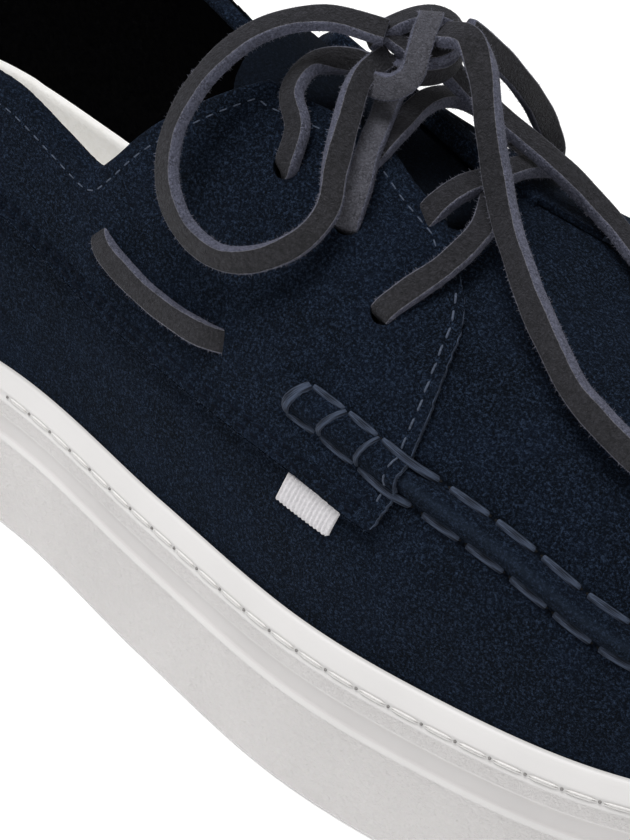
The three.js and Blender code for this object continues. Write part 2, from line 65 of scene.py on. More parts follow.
OUTER, INNER = -1.0, 1.0
sides = ((OUTER, "outer"), (INNER, "inner"))
outline_rows = np.array([
    (0.000, 0.000), (0.030, -0.205), (0.100, -0.315), (0.220, -0.352), (0.360, -0.352),
    (0.500, -0.430), (0.620, -0.487), (0.720, -0.480), (0.820, -0.438), (0.910, -0.335),
    (0.975, -0.165), (1.000, 0.030), (0.975, 0.225), (0.910, 0.375), (0.820, 0.470),
    (0.730, 0.508), (0.620, 0.450), (0.500, 0.335), (0.380, 0.285), (0.250, 0.310),
    (0.120, 0.318), (0.035, 0.215),
])
toe_row = 11
# along, rise, across, power of the arch
last_rows = [
    (0.06, 1.26, 0.000, 3.00), (0.20, 1.26, 0.000, 3.00), (0.32, 1.23, -0.009, 2.70),
    (0.42, 1.11, -0.020, 2.30), (0.46, 1.05, -0.030, 2.10), (0.50, 1.00, -0.036, 2.00),
    (0.54, 0.95, -0.036, 2.00), (0.60, 0.855, -0.027, 2.10), (0.66, 0.779, -0.009, 2.35),
    (0.73, 0.694, 0.010, 2.60), (0.80, 0.608, 0.027, 2.60), (0.87, 0.507, 0.036, 2.60),
    (0.93, 0.400, 0.036, 2.60),
]
# along, rise
seam_rows = [
    (0.00, 0.54), (0.58, 0.536), (0.66, 0.503), (0.73, 0.462), (0.80, 0.385), (0.88, 0.320),
    (0.95, 0.275), (1.00, 0.260),
]
topline_rows = [
    (-0.03, 1.050), (0.02, 1.045), (0.10, 1.030), (0.20, 1.015), (0.32, 0.998), (0.37, 0.948),
    (0.395, 0.924), (0.405, 0.928), (0.414, 0.962), (0.4255, 1.018), (0.437, 1.060),
    (0.460, 1.118), (0.483, 1.155), (0.520, 1.220),
]
saddle_edge_rows = [
    (-0.03, 0.830), (0.07, 0.822), (0.20, 0.795), (0.34, 0.745), (0.38, 0.708), (0.427, 0.678),
    (0.475, 0.665), (0.520, 0.657), (0.600, 0.652), (0.640, 0.640), (0.760, 0.620),
]
insole_edge_rows = [
    (-0.03, 0.545), (0.20, 0.515), (0.33, 0.470), (0.50, 0.380), (0.65, 0.310), (0.80, 0.310),
    (0.90, 0.340), (1.03, 0.400),
]
# along, across on the outer side, across on the inner side
throat_rows = np.array([
    (0.400, -0.135, 0.110), (0.483, -0.130, 0.105), (0.543, -0.088, 0.055),
    (0.570, -0.108, 0.052), (0.595, -0.118, 0.053), (0.604, -0.105, 0.045),
    (0.609, -0.075, 0.015),
])
flap_rows = {
    OUTER: np.array([
        (0.619, -0.161), (0.634, -0.193), (0.643, -0.230), (0.652, -0.312), (0.656, -0.368),
        (0.656, -0.400), (0.651, -0.422), (0.644, -0.440), (0.634, -0.455), (0.634, -0.560),
    ]),
    INNER: np.array([
        (0.616, 0.060), (0.650, 0.085), (0.669, 0.112), (0.682, 0.160), (0.690, 0.215),
        (0.693, 0.290), (0.690, 0.360), (0.682, 0.395), (0.682, 0.560),
    ]),
}
tongue_rows = [
    (0.450, -0.105, 0.040), (0.454, -0.150, 0.085), (0.466, -0.182, 0.130),
    (0.510, -0.195, 0.150), (0.580, -0.170, 0.120), (0.645, -0.125, 0.080),
]
eyelet_rows = [(0.511, -0.198, 0.180), (0.558, -0.209, 0.165), (0.602, -0.264, 0.190)]


def smooth_step(low, high, x):
    t = np.clip((x - low) / (high - low), 0, 1)
    return t * t * (3 - 2 * t)


def run_along(line):
    """The length run at each point of a line, from 0 at its first."""
    return np.concatenate([[0], np.cumsum(np.linalg.norm(np.diff(line, axis=0), axis=1))])


def read_line(line, run, at):
    """Points of a line where its run is at."""
    return np.stack([np.interp(at, run, column) for column in np.asarray(line).T], -1)


def read_table(rows, column, share):
    """A smooth curve through one column of a table."""
    table = np.asarray(rows, float)
    x, y = table[:, 0], table[:, column]
    share = np.clip(share, x[0], x[-1])
    i = np.clip(np.searchsorted(x, share, side="left") - 1, 0, len(x) - 2)
    slope = np.concatenate([
        [(y[1] - y[0]) / (x[1] - x[0])],
        (y[2:] - y[:-2]) / (x[2:] - x[:-2]),
        [(y[-1] - y[-2]) / (x[-1] - x[-2])],
    ])
    step = x[i + 1] - x[i]
    t = (share - x[i]) / step
    w = t * t * (3 - 2 * t)
    bend = t * (1 - t) ** 2 * step * slope[i] + t * t * (t - 1) * step * slope[i + 1]
    return y[i] * (1 - w) + y[i + 1] * w + bend


# %% The outline, and the last's surface between it and the ridge line
def catmull(points, at):
    """A closed smooth curve through points; at counts them."""
    i = np.floor(at).astype(int)
    f = (at - i)[:, None]
    a, b, c, d = (points[(i + k) % len(points)] for k in (-1, 0, 1, 2))
    return 0.5 * (2 * b + (c - a) * f + (2 * a - 5 * b + 4 * c - d) * f**2
                  + (3 * b - a - 3 * c + d) * f**3)


steps_a_row = 100
outline_steps = np.linspace(0, len(outline_rows), steps_a_row * len(outline_rows) + 1)
outline_line = catmull(outline_rows * [sole_length, ball_width], outline_steps)
outline_length = run_along(outline_line)
toe_length = outline_length[toe_row * steps_a_row]
outline_way = np.gradient(outline_line, axis=0)
outline_way[0] = outline_way[-1] = (outline_line[1] - outline_line[-2]) / 2
outline_way /= np.linalg.norm(outline_way, axis=1)[:, None]
middle = (outline_line[:, 1].min() + outline_line[:, 1].max()) / 2
print("outline is", round(outline_length[-1]), "mm round")


def outline(s, side, inset):
    """A point of the outline drawn in by inset; s runs from heel to toe."""
    whole = outline_length[-1]
    at = np.where(side < 0, s * toe_length, whole - s * (whole - toe_length)) % whole
    x, y = (np.interp(at, outline_length, outline_line[:, k]) for k in (0, 1))
    dx, dy = (np.interp(at, outline_length, outline_way[:, k]) for k in (0, 1))
    return x - dy * inset, y + dx * inset


def spring(x):
    past = np.maximum((x / sole_length - spring_start) / (1 - spring_start), 0)
    return toe_spring * past * past


def cup_floor(x):
    return heel_floor + (ball_floor - heel_floor) * smooth_step(0.25, 0.6, x / sole_length) + spring(x)


def ridge_line(along):
    return feather_height + read_table(last_rows, 1, along) * instep_rise + spring(along * sole_length)


def rib(s, side):
    edge_x, edge_y = outline(s, side, feather_inset)
    other_x, _ = outline(s, -side, feather_inset)
    share = (edge_x + other_x) / 2 / sole_length
    along = last_rows[0][0] + share * (last_rows[-1][0] - last_rows[0][0])
    fall = (ridge_line(along) - ridge_line(along - 0.01)) / (0.01 * sole_length)
    return {
        "edge": (edge_x, edge_y, feather_height + spring(edge_x)),
        "top": (along * sole_length, read_table(last_rows, 2, along) * ball_width, ridge_line(along)),
        "power": read_table(last_rows, 3, along),
        "fall": fall * smooth_step(0.7, 0.88, along),
    }


def last_point(s, side, v):
    """The last's surface: v is 0 at the feather edge and 1 on the ridge line."""
    s, side, v = (np.asarray(a, float) for a in np.broadcast_arrays(s, side, v))
    side = np.where((s < 0) | (s > 1), -side, side)
    s = np.where(s < 0, -s, np.where(s > 1, 2 - s, s))
    side = np.where(v > 1, -side, side)
    v = np.where(v > 1, 2 - v, v)
    line = rib(s, side)
    (ex, ey, ez), (tx, ty, tz) = line["edge"], line["top"]
    turn = v * np.pi / 2
    inward = 1 - np.maximum(np.cos(turn), 0) ** (2 / line["power"])
    upward = np.maximum(np.sin(turn), 0) ** (2 / line["power"])
    ahead = line["fall"] * (ex - tx)
    z = ez + (tz - ez + ahead) * upward - ahead * inward
    return np.stack([ex + (tx - ex) * inward, ey + (ty - ey) * inward, z], -1)


def unit(a):
    return a / np.maximum(np.linalg.norm(a, axis=-1, keepdims=True), 1e-9)


def last_ways(s, side, v):
    """The way along, the way up and the outward normal at a point."""
    e = 0.004
    low = np.maximum(v, e)
    along = last_point(s + e, side, low) - last_point(s - e, side, low)
    up = last_point(s, side, low + e) - last_point(s, side, low - e)
    normal = np.cross(along, up) * -np.asarray(side)[..., None]
    return along / (2 * e), up / (2 * e), unit(normal)


def skin(s, side, v, offset):
    s, side, v = (np.asarray(a, float) for a in np.broadcast_arrays(s, side, v))
    return last_point(s, side, v) + last_ways(s, side, v)[2] * np.asarray(offset)[..., None]


# %% [markdown]
# Where an edge runs over the last, it is looked for once on a fine net of ribs: the first
# place up each rib that lies past the line.
# %% Lines over the last
net_s = np.linspace(0, 1, 1201)
net_v = np.linspace(0, 1, 801)
net = {side: last_point(net_s[:, None], side, net_v[None, :]) for side in (OUTER, INNER)}


def first_past(past, along):
    return np.where(past.any(axis=-1), along[np.argmax(past, axis=-1)], 1.0)


def side_line(rows, x):
    return read_table(rows, 1, x / sole_length) * collar_height


def cut_line(side, for_saddle):
    """v at the topline or the throat's edge, for each s of the net."""
    x, y, z = np.moveaxis(net[side], -1, 0)
    column = 1 if side < 0 else 2
    rows = throat_rows[:, [0, column]]
    if for_saddle:
        rows = np.concatenate([rows[:5], flap_rows[side][:2]])
    edge = np.interp(x / sole_length, rows[:, 0], rows[:, 1]) * ball_width
    last = rows[-1, 0] * sole_length
    inside = (x > rows[0, 0] * sole_length) & (x < last) & ((y - edge) * side < 0)
    return first_past((z > side_line(topline_rows, x)) | inside, net_v)


def level_line(side, rows):
    x, _, z = np.moveaxis(net[side], -1, 0)
    return first_past(z > side_line(rows, x), net_v)


def front_line(side):
    """s at the flap's front edge, for each v of the net."""
    x, y, _ = np.moveaxis(net[side], -1, 0)
    rows = flap_rows[side]
    order = np.argsort(rows[:, 1])
    edge = np.interp(y / ball_width, rows[order, 1], rows[order, 0]) * sole_length
    return first_past((x > edge).T, net_s)


upper_cut = {side: cut_line(side, False) for side in (OUTER, INNER)}
saddle_cut = {side: cut_line(side, True) for side in (OUTER, INNER)}
saddle_low = {side: level_line(side, saddle_edge_rows) for side in (OUTER, INNER)}
insole_cut = {side: level_line(side, insole_edge_rows) for side in (OUTER, INNER)}
flap_front = {side: front_line(side) for side in (OUTER, INNER)}


def by_side(table, side, at, grid=net_s):
    return np.where(side < 0, np.interp(at, grid, table[OUTER]), np.interp(at, grid, table[INNER]))


def seam(s, side):
    """v of the sewn ridge, its half width in v, and how far it is raised there."""
    line = rib(s, side)
    (ex, _, ez), tz = line["edge"], line["top"][2]
    rise = read_table(seam_rows, 1, ex / sole_length) * instep_rise
    share = np.minimum(rise / (tz - ez), 0.97)
    v = np.arcsin(share ** (line["power"] / 2)) / (np.pi / 2)
    speed = np.linalg.norm(last_point(s, side, v + 0.01) - last_point(s, side, v - 0.01), axis=-1) / 0.02
    return v, ridge_half / speed, smooth_step(0.565, 0.585, ex / sole_length)


seam_s = np.linspace(0.5, 1, 801)
seam_arc = {}
for side in (OUTER, INNER):
    seam_arc[side] = run_along(last_point(seam_s, side, seam(seam_s, side)[0]))
seam_pitch = 8.6


def relief(s, side, v):
    """Height of the sewn ridge with its two creases, and the soft unevenness of the leather."""
    at, half, on = seam(s, side)
    part = (v - at) / half
    ridge = ridge_height * np.maximum(1 - part * part, 0)
    crease = -0.75 * np.exp(-(((np.abs(part) - 1.25) / 0.30) ** 2))
    arc = np.where(side < 0, np.interp(s, seam_s, seam_arc[OUTER]), np.interp(s, seam_s, seam_arc[INNER]))
    pinch = 0.10 * np.cos(2 * np.pi * arc / seam_pitch) * np.exp(-((part / 1.6) ** 2))
    soft = 0.12 * np.sin(s * 31 + v * 9) * np.sin(v * 17 - s * 23)
    return on * (ridge + crease + pinch) + soft


def leather(s, side, v, offset):
    """The outside of the upper with its relief, offset away from it."""
    return skin(s, side, v, offset + relief(s, side, v))


def over(x, y, offset):
    """The surface point over a place seen from above, and its (s, side, v)."""
    x, y = np.broadcast_arrays(np.asarray(x, float), np.asarray(y, float))
    top_y = read_table(last_rows, 2, x / sole_length) * ball_width
    side = np.where(y < top_y, OUTER, INNER)
    s, v = x / sole_length, np.full(x.shape, 0.6)
    for _ in range(60):
        line = rib(s, side)
        across = (y - line["edge"][1]) / (line["top"][1] - line["edge"][1])
        wanted = np.arccos(np.clip(1 - across, 0, 1) ** (line["power"] / 2)) / (np.pi / 2)
        v = v + (wanted - v) * 0.6
        s = s + (x - last_point(s, side, v)[..., 0]) / sole_length * 0.6
    return skin(s, side, v, offset), (s, side, v)


def beside(x, z, side):
    """(s, v) of the surface at a place seen from the side."""
    x, z = np.broadcast_arrays(np.asarray(x, float), np.asarray(z, float))
    s, v = x / sole_length, np.full(x.shape, 0.35)
    for _ in range(60):
        here = last_point(s, side, v)
        slope = (last_point(s, side, v + 0.005) - last_point(s, side, v - 0.005))[..., 2] / 0.01
        v = np.clip(v + (z - here[..., 2]) / np.maximum(slope, 20) * 0.6, 0.01, 0.99)
        s = s + (x - here[..., 0]) / sole_length * 0.6
    return s, v


# %% [markdown]
# Every form here is a net of points, laid on a grid made by Blender's own grid operator: the
# operator gives clean squares with a map, and each of its corners is then moved to its place.
# A closed form meets itself and its doubled corners are merged.
# %% Pieces from nets
def to_metres(points):
    return (np.asarray(points) - [sole_length / 2, middle, 0]) * 0.001


def lay_grid(mesh, points, bands=()):
    """Adds a grid whose corners lie at points[i][j]; bands give rows a material of their own."""
    columns, rows = points.shape[:2]
    before = len(mesh.faces)
    layer = mesh.loops.layers.uv.verify()
    made = bmesh.ops.create_grid(mesh, x_segments=columns - 1, y_segments=rows - 1, size=0.5, calc_uvs=True)
    places = to_metres(points)
    for corner in made["verts"]:
        i = round((corner.co.x + 0.5) * (columns - 1))
        j = round((corner.co.y + 0.5) * (rows - 1))
        corner.co = places[i, j]
    mesh.faces.ensure_lookup_table()
    for face in mesh.faces[before:]:
        face.smooth = True
        height = sum(loop[layer].uv.y for loop in face.loops) / len(face.loops)
        for low, high, slot in bands:
            if low <= height <= high:
                face.material_index = slot


def finish_piece(name, mesh, materials, merge=None, cap=False):
    if merge:
        bmesh.ops.remove_doubles(mesh, verts=mesh.verts, dist=merge)
    if cap:
        edges = [e for e in mesh.edges if e.is_boundary]
        bmesh.ops.holes_fill(mesh, edges=edges, sides=0)
    data = bpy.data.meshes.new(name)
    mesh.to_mesh(data)
    mesh.free()
    for material in materials:
        data.materials.append(material)
    piece = bpy.data.objects.new(name, data)
    bpy.context.scene.collection.objects.link(piece)
    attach(piece, "root")
    print(name, len(data.polygons), "faces")
    return piece


def net_piece(name, points, materials, slot_name, merge=1e-5, cap=False, change=None, **how):
    """A piece of one net; change alters its mesh once the doubled corners are merged."""
    mesh = bmesh.new()
    lay_grid(mesh, points, **how)
    if merge:
        bmesh.ops.remove_doubles(mesh, verts=mesh.verts, dist=merge)
    if change:
        change(mesh)
    return finish_piece(name, mesh, materials, cap=cap)


def thicken(piece, thickness, round_edges=0.0):
    """Gives a sheet its thickness, inwards, and rounds its cut edges."""
    wall_maker = piece.modifiers.new("thickness", "SOLIDIFY")
    wall_maker.thickness = thickness * 0.001
    wall_maker.offset = -1
    if round_edges:
        rounder = piece.modifiers.new("cut edges", "BEVEL")
        rounder.width = round_edges * 0.001
        rounder.segments = 2
        rounder.limit_method = "ANGLE"
        rounder.angle_limit = math.radians(50)


# %% [markdown]
# A material's colours are written as they look on screen and turned to linear light by one
# function, and one small function adds a node with its settings and links. The others give
# names to what the materials share: noise, a colour ramp, a sum, one colour over another.
# %% Helpers for materials
BLACK, WHITE = (0, 0, 0, 1), (1, 1, 1, 1)


def grey(share):
    return (share, share, share, 1)


def linear(hex_colour):
    parts = [int(hex_colour[i:i + 2], 16) / 255 for i in (1, 3, 5)]
    return [p / 12.92 if p <= 0.04045 else ((p + 0.055) / 1.055) ** 2.4 for p in parts] + [1.0]


def add_node(material, kind, links=None, **settings):
    """Adds a node; links gives each input a value or another node's output."""
    made = material.node_tree.nodes.new("ShaderNode" + kind)
    for key, value in settings.items():
        setattr(made, key, value)
    for key, value in (links or {}).items():
        if isinstance(value, bpy.types.NodeSocket):
            material.node_tree.links.new(value, made.inputs[key])
        else:
            made.inputs[key].default_value = value
    return made


def new_material(name):
    """An empty material, and the places that it can be read at."""
    material = bpy.data.materials.new(name)
    material.use_nodes = True
    material.node_tree.nodes.clear()
    return material, add_node(material, "TexCoord").outputs


def close_material(material, inputs):
    """Ends a material with its surface."""
    surface = add_node(material, "BsdfPrincipled", inputs)
    add_node(material, "OutputMaterial", {"Surface": surface.outputs["BSDF"]})
    return material


def cover(material, colour, roughness, shine, height, strength, depth, sheen=()):
    """Ends a material with a relief, height, that is up to depth metres deep."""
    bump = add_node(material, "Bump", {"Height": height, "Strength": strength, "Distance": depth})
    inputs = {"Base Color": colour, "Roughness": roughness, "Specular IOR Level": shine,
              "Normal": bump.outputs["Normal"]}
    inputs.update(zip(("Sheen Weight", "Sheen Roughness", "Sheen Tint"), sheen))
    return close_material(material, inputs)


def noise(material, place, size_mm, detail, roughness):
    """Noise with features of about size_mm, in the object's own coordinates."""
    return add_node(material, "TexNoise", {
        "Vector": place, "Scale": 1000 / size_mm, "Detail": detail, "Roughness": roughness,
    }).outputs["Fac"]


def ramp(material, value, low, high, *colours):
    """Two colours, written as on screen or as plain numbers, from value low to value high."""
    made = add_node(material, "ValToRGB", {"Fac": value})
    for stop, at, colour in zip(made.color_ramp.elements, (low, high), colours):
        stop.position = at
        stop.color = linear(colour) if isinstance(colour, str) else colour
    return made.outputs["Color"]


def calculate(material, operation, *values, **settings):
    return add_node(material, "Math", dict(enumerate(values)), operation=operation, **settings).outputs[0]


def away_from(material, value, middle_value):
    return calculate(material, "ABSOLUTE", calculate(material, "SUBTRACT", value, middle_value))


def over_colour(material, mask, under, top):
    """The colour sockets of a Mix node follow its number sockets, so they go by place."""
    return add_node(material, "Mix", {0: mask, 6: under, 7: top}, data_type="RGBA").outputs[2]


# %% [markdown]
# Suede is the fleshy side of the hide, brushed up. Light sinks into the nap, so it is very
# dark with hardly a shine. Fibres that lie over catch light as pale specks of half a
# millimetre, the gaps between them get painted shade, and strokes of a hand leave clouds of a centimetre.
# %% Dyed suede
# rows of the upper's net below the ridge, on it and above it, and the crest's share of them all
upper_parts = (22, 15, 34)
crest_share = (1 + upper_parts[0] + upper_parts[1] / 2) / (1 + sum(upper_parts))
# share of the way up the net, half width, strength, colour: a paler crest, partly rubbed wear and partly
# painted sheen, and painted shade in the two creases
crest_wear_sheen_shade = [(crest_share, 0.034, 0.45, "#2a3444"), (crest_share - 0.078, 0.022, 0.9, "#020306"),
              (crest_share + 0.078, 0.022, 0.9, "#020306")]
crest_from, crest_full = 0.024, 0.032


def paint_crest_wear_sheen_shade(suede, where, colour):
    """The top of the sewn ridge is painted paler, partly rubbed wear and partly painted sheen, and its two
    creases get painted shade.
    """
    upward = add_node(suede, "SeparateXYZ", {"Vector": where["UV"]}).outputs["Y"]
    ahead = add_node(suede, "SeparateXYZ", {"Vector": where["Object"]}).outputs["X"]
    front = add_node(suede, "MapRange", {"Value": ahead, "From Min": crest_from, "From Max": crest_full})
    patches = noise(suede, where["Object"], 0.8, 4, 0.8)
    for share, half, amount, tint in crest_wear_sheen_shade:
        near = add_node(suede, "MapRange", {
            "Value": away_from(suede, upward, share), "From Min": half, "From Max": 0.0, "To Max": amount,
        })
        mask = calculate(suede, "MULTIPLY", patches, near.outputs["Result"])
        mask = calculate(suede, "MULTIPLY", mask, front.outputs["Result"])
        mask = calculate(suede, "MULTIPLY", mask, 1.7, use_clamp=True)
        colour = over_colour(suede, mask, colour, linear(tint))
    return colour


def make_suede(name, deep, pale, fleck, ridge_wear_sheen_shade=False):
    suede, where = new_material(name)
    place = where["Object"]
    colour = ramp(suede, noise(suede, place, 11, 5, 0.65), 0.36, 0.66, deep, pale)
    # painted shade in the gaps between the nap's fibres
    nap_gap_shade = ramp(suede, noise(suede, place, 0.6, 3, 0.85), 0.36, 0.54, grey(0.9), BLACK)
    colour = over_colour(suede, nap_gap_shade, colour, linear("#04060a"))
    specks = ramp(suede, noise(suede, place, 0.5, 6, 0.9), 0.50, 0.66, BLACK, WHITE)
    colour = over_colour(suede, specks, colour, linear(fleck))
    # the crest gets rubbed wear and painted sheen, its two creases painted shade
    if ridge_wear_sheen_shade:
        colour = paint_crest_wear_sheen_shade(suede, where, colour)
    nap = noise(suede, place, 0.4, 5, 0.85)
    return cover(suede, colour, 1.0, 0.05, nap, 1.0, 0.0006, sheen=(0.05, 0.6, linear("#6d7f96")))


navy = ("#04070e", "#0b121f", "#36455d")
suede = make_suede("suede_navy", *navy)
# this copy carries the ridge's painted sheen, rubbed wear and painted crease shade
suede_ridge_wear_sheen_shade = make_suede("suede_navy_ridge_wear_sheen_shade", *navy, ridge_wear_sheen_shade=True)
# the tongue's suede is darker: painted shade from the flaps over it
tongue_suede_shaded = make_suede("suede_navy_tongue_painted_shade", "#04070d", "#090e17", "#1a2230")

# %% [markdown]
# The lace is a square-cut leather thong. Its grain side is dark and finely wrinkled, its cut
# edges are raw fibre of a paler, colder grey, and its flesh side is a fuzzy plain grey. One
# material changes between the three round the thong, by its map, with a thin pale line where
# the knife ran along each corner of the grain side.
# %% Lace leather
# shares of the way round a thong's section: the middle of the grain side and of the flesh side
grain_side, flesh_side = 0.25, 0.75


def make_lace():
    lace, where = new_material("lace_leather_thong")
    place = where["Object"]
    turned = add_node(lace, "SeparateXYZ", {"Vector": where["UV"]}).outputs["Y"]
    ragged = calculate(lace, "MULTIPLY_ADD", noise(lace, place, 1.0, 4, 0.7), 0.05, -0.025)

    def from_middle(share):
        """How far round the thong a place is from the middle of a side, a little ragged."""
        return calculate(lace, "ADD", away_from(lace, turned, share), ragged)

    grain = ramp(lace, noise(lace, place, 0.8, 6, 0.8), 0.40, 0.62, "#0a0a0c", "#323136")
    fibre = ramp(lace, noise(lace, place, 0.45, 4, 0.8), 0.32, 0.7, "#3a3c4a", "#7e8197")
    flesh = ramp(lace, noise(lace, place, 0.5, 5, 0.8), 0.32, 0.7, "#3a3a40", "#6c6c76")
    off_grain = ramp(lace, from_middle(grain_side), 0.112, 0.130, BLACK, WHITE)
    on_flesh = ramp(lace, from_middle(flesh_side), 0.112, 0.135, WHITE, BLACK)
    colour = over_colour(lace, on_flesh, over_colour(lace, off_grain, grain, fibre), flesh)
    corner = ramp(lace, away_from(lace, from_middle(grain_side), 0.122), 0.004, 0.016, grey(0.5), BLACK)
    colour = over_colour(lace, corner, colour, linear("#8f8e93"))
    # in patches the leather cracks into cells of about half a millimetre, darker in their folds
    bent = add_node(lace, "TexNoise", {"Vector": place, "Scale": 900, "Detail": 2}).outputs["Color"]
    bent = add_node(lace, "VectorMath", {0: bent, 3: 0.0010}, operation="SCALE").outputs[0]
    bent = add_node(lace, "VectorMath", {0: place, 1: bent}, operation="ADD").outputs[0]
    cells = add_node(lace, "TexVoronoi", {"Vector": bent, "Scale": 1500}, feature="DISTANCE_TO_EDGE")
    cells = cells.outputs["Distance"]
    cracks = ramp(lace, cells, 0.0, 0.14, grey(0.7), BLACK)
    patches = ramp(lace, noise(lace, place, 2.2, 3, 0.7), 0.38, 0.62, BLACK, WHITE)
    colour = over_colour(lace, calculate(lace, "MULTIPLY", cracks, patches), colour, linear("#0b0b0d"))
    folds = calculate(lace, "ADD", cells, noise(lace, place, 0.4, 5, 0.8))
    return cover(lace, colour, 0.66, 0.3, folds, 1.0, 0.0008, sheen=(0.08, 0.5, linear("#a3a6bd")))


lace_leather = make_lace()


# %% [markdown]
# The sole is one moulding of off-white rubber. The mould's wall was etched with a fine leather
# grain on two bands, and left smooth on the rim, in the sunk band and in the groove. The sunk
# band's rubber is a little darker: painted shade in the recess.
# %% Moulded rubber
def make_rubber(name, low, high, size_mm, strength, depth, roughness):
    rubber, where = new_material(name)
    colour = ramp(rubber, noise(rubber, where["Object"], 25, 3, 0.5), 0.3, 0.7, low, high)
    grain = noise(rubber, where["Object"], size_mm, 4, 0.7)
    return cover(rubber, colour, roughness, 0.4, grain, strength, depth)


left_smooth, etched = (3.0, 0.12, 0.0004, 0.48), (1.3, 1.0, 0.0010, 0.6)
rubber_smooth = make_rubber("rubber_offwhite_smooth", "#cdcbca", "#d3d1d0", *left_smooth)
rubber_grained = make_rubber("rubber_offwhite_grained", "#cfcccb", "#d6d3d2", *etched)
# a little darker: painted shade in the sunk band's recess
rubber_sunk_shaded = make_rubber("rubber_offwhite_sunk_shaded", "#c8c5c4", "#cfcccb", *left_smooth)


# %% [markdown]
# The rest are dense stuffs whose colour wavers a little over a millimetre or so, and a waxed
# thread whose filaments run along each stitch as fine streaks, by the stitch's own map.
# %% Lining, footbed, threads, raw edges and ribbon
def make_plain(name, dark, light, size_mm, roughness, depth=0.0002, shine=0.3):
    made, where = new_material(name)
    colour = ramp(made, noise(made, where["Object"], size_mm, 4, 0.65), 0.3, 0.7, dark, light)
    grain = noise(made, where["Object"], size_mm, 5, 0.7)
    return cover(made, colour, roughness, shine, grain, 0.6, depth)


def make_thread(name, dark, light):
    thread, where = new_material(name)
    moved = add_node(thread, "Mapping", {"Vector": where["UV"], "Scale": (3, 22, 1)}).outputs["Vector"]
    streaks = add_node(thread, "TexNoise", {"Vector": moved, "Scale": 1.0, "Detail": 3}).outputs["Fac"]
    colour = ramp(thread, streaks, 0.38, 0.62, dark, light)
    return cover(thread, colour, 0.8, 0.2, streaks, 1.0, 0.0003)


lining_leather = make_plain("lining_leather_black", "#040405", "#0b0b0c", 1.2, 1.0, shine=0.0)
footbed_leather = make_plain("footbed_leather_pale", "#f3f1ed", "#fbfaf8", 1.5, 0.7)
cut_edge = make_plain("suede_cut_edge", "#080c13", "#414d62", 1.4, 0.95, 0.0004)
# near black: painted shadow under the saddle's low edge
edge_shadow_paint = make_plain("suede_cut_edge_painted_shadow", "#020305", "#0a0e15", 0.5, 1.0, 0.0004, shine=0.0)
fine_thread = make_plain("thread_grey", "#2c3341", "#4c5668", 0.4, 0.8)
dark_thread = make_plain("thread_navy", "#05070c", "#121824", 0.4, 0.9, shine=0.05)
# grey balls in the pinholes: painted shade of the holes
sole_hole_shade = make_plain("pinhole_shade_in_rubber", "#716f6d", "#8c8a88", 0.6, 0.95)
sole_thread = make_plain("thread_offwhite", "#d4d2d0", "#dedcda", 0.5, 0.7)
hole_dark = make_plain("pinhole_shadow", "#050505", "#0a0a0b", 1.0, 0.95)
raw_fibre = make_plain("lace_raw_fibre", "#5c5d69", "#8e8f9f", 1.0, 0.8)
edge_fibre = make_plain("suede_raw_fibre", "#1c2431", "#465268", 1.0, 0.9)
ribbon = make_plain("grosgrain_ribbon", "#c2c0c3", "#dad8da", 0.5, 0.75)
waxed_thread = make_thread("waxed_thread_slate", "#151b26", "#434d60")

# %% [markdown]
# The camera stands where the photograph was taken from: above the outer side, looking down at
# the throat, and rolled so that the shoe runs from corner to corner.
# %% Camera
azimuth, elevation, roll = (math.radians(a) for a in (32.6397, 37.9686, 8.037))
# the lens in picture points, for a picture 840 high, and metres from the target
focal_length, picture_height, distance = 2205.6877, 840, 0.4000082
back = Vector((math.sin(azimuth) * math.cos(elevation), -math.cos(azimuth) * math.cos(elevation),
               math.sin(elevation)))
level = Vector((math.cos(azimuth), math.sin(azimuth), 0))
upright = back.cross(level)
right = math.cos(roll) * level + math.sin(roll) * upright
up = -math.sin(roll) * level + math.cos(roll) * upright
target = Vector(to_metres((163.0895, -16.8004, 45.3517)))
camera = bpy.data.objects.new("camera", bpy.data.cameras.new("camera"))
bpy.context.scene.collection.objects.link(camera)
camera.data.sensor_width = 36
camera.data.lens = focal_length / picture_height * camera.data.sensor_width
camera.data.clip_start = 0.02
camera.location = target + back * distance
camera.rotation_mode = "QUATERNION"
camera.rotation_quaternion = Matrix([right, up, back]).transposed().to_quaternion()
bpy.context.scene.camera = camera
view_back, view_right, view_up = (np.array(a) for a in (back, right, up))

# %% [markdown]
# Leather laces are stiff enough to stand in loops. Each one is a flat thong that follows its
# route with its grain side turned the way that the photograph shows. The section is a
# rounded rectangle, carried along the route.
# %% Thongs
lace_width, lace_thickness = 4.3, 2.5


def smooth_route(route, step=0.8):
    """Points at equal steps on a smooth curve through the route's points."""
    p = np.asarray(route, float)
    p = np.concatenate([[2 * p[0] - p[1]], p, [2 * p[-1] - p[-2]]])
    t = np.concatenate([[0], np.cumsum(np.linalg.norm(np.diff(p, axis=0), axis=1) ** 0.5)])
    line = []
    for i in range(1, len(p) - 2):
        at = np.linspace(t[i], t[i + 1], 40, endpoint=i == len(p) - 3)[:, None]
        def mix(a, b, ta, tb):
            return (tb - at) / (tb - ta) * a + (at - ta) / (tb - ta) * b
        a1, a2, a3 = (mix(p[i + k], p[i + k + 1], t[i + k], t[i + k + 1]) for k in (-1, 0, 1))
        b1, b2 = mix(a1, a2, t[i - 1], t[i + 1]), mix(a2, a3, t[i], t[i + 2])
        line.append(mix(b1, b2, t[i], t[i + 1]))
    line = np.concatenate(line)
    run = run_along(line)
    return read_line(line, run, np.linspace(0, run[-1], max(int(run[-1] / step), 4) + 1)), run[-1]


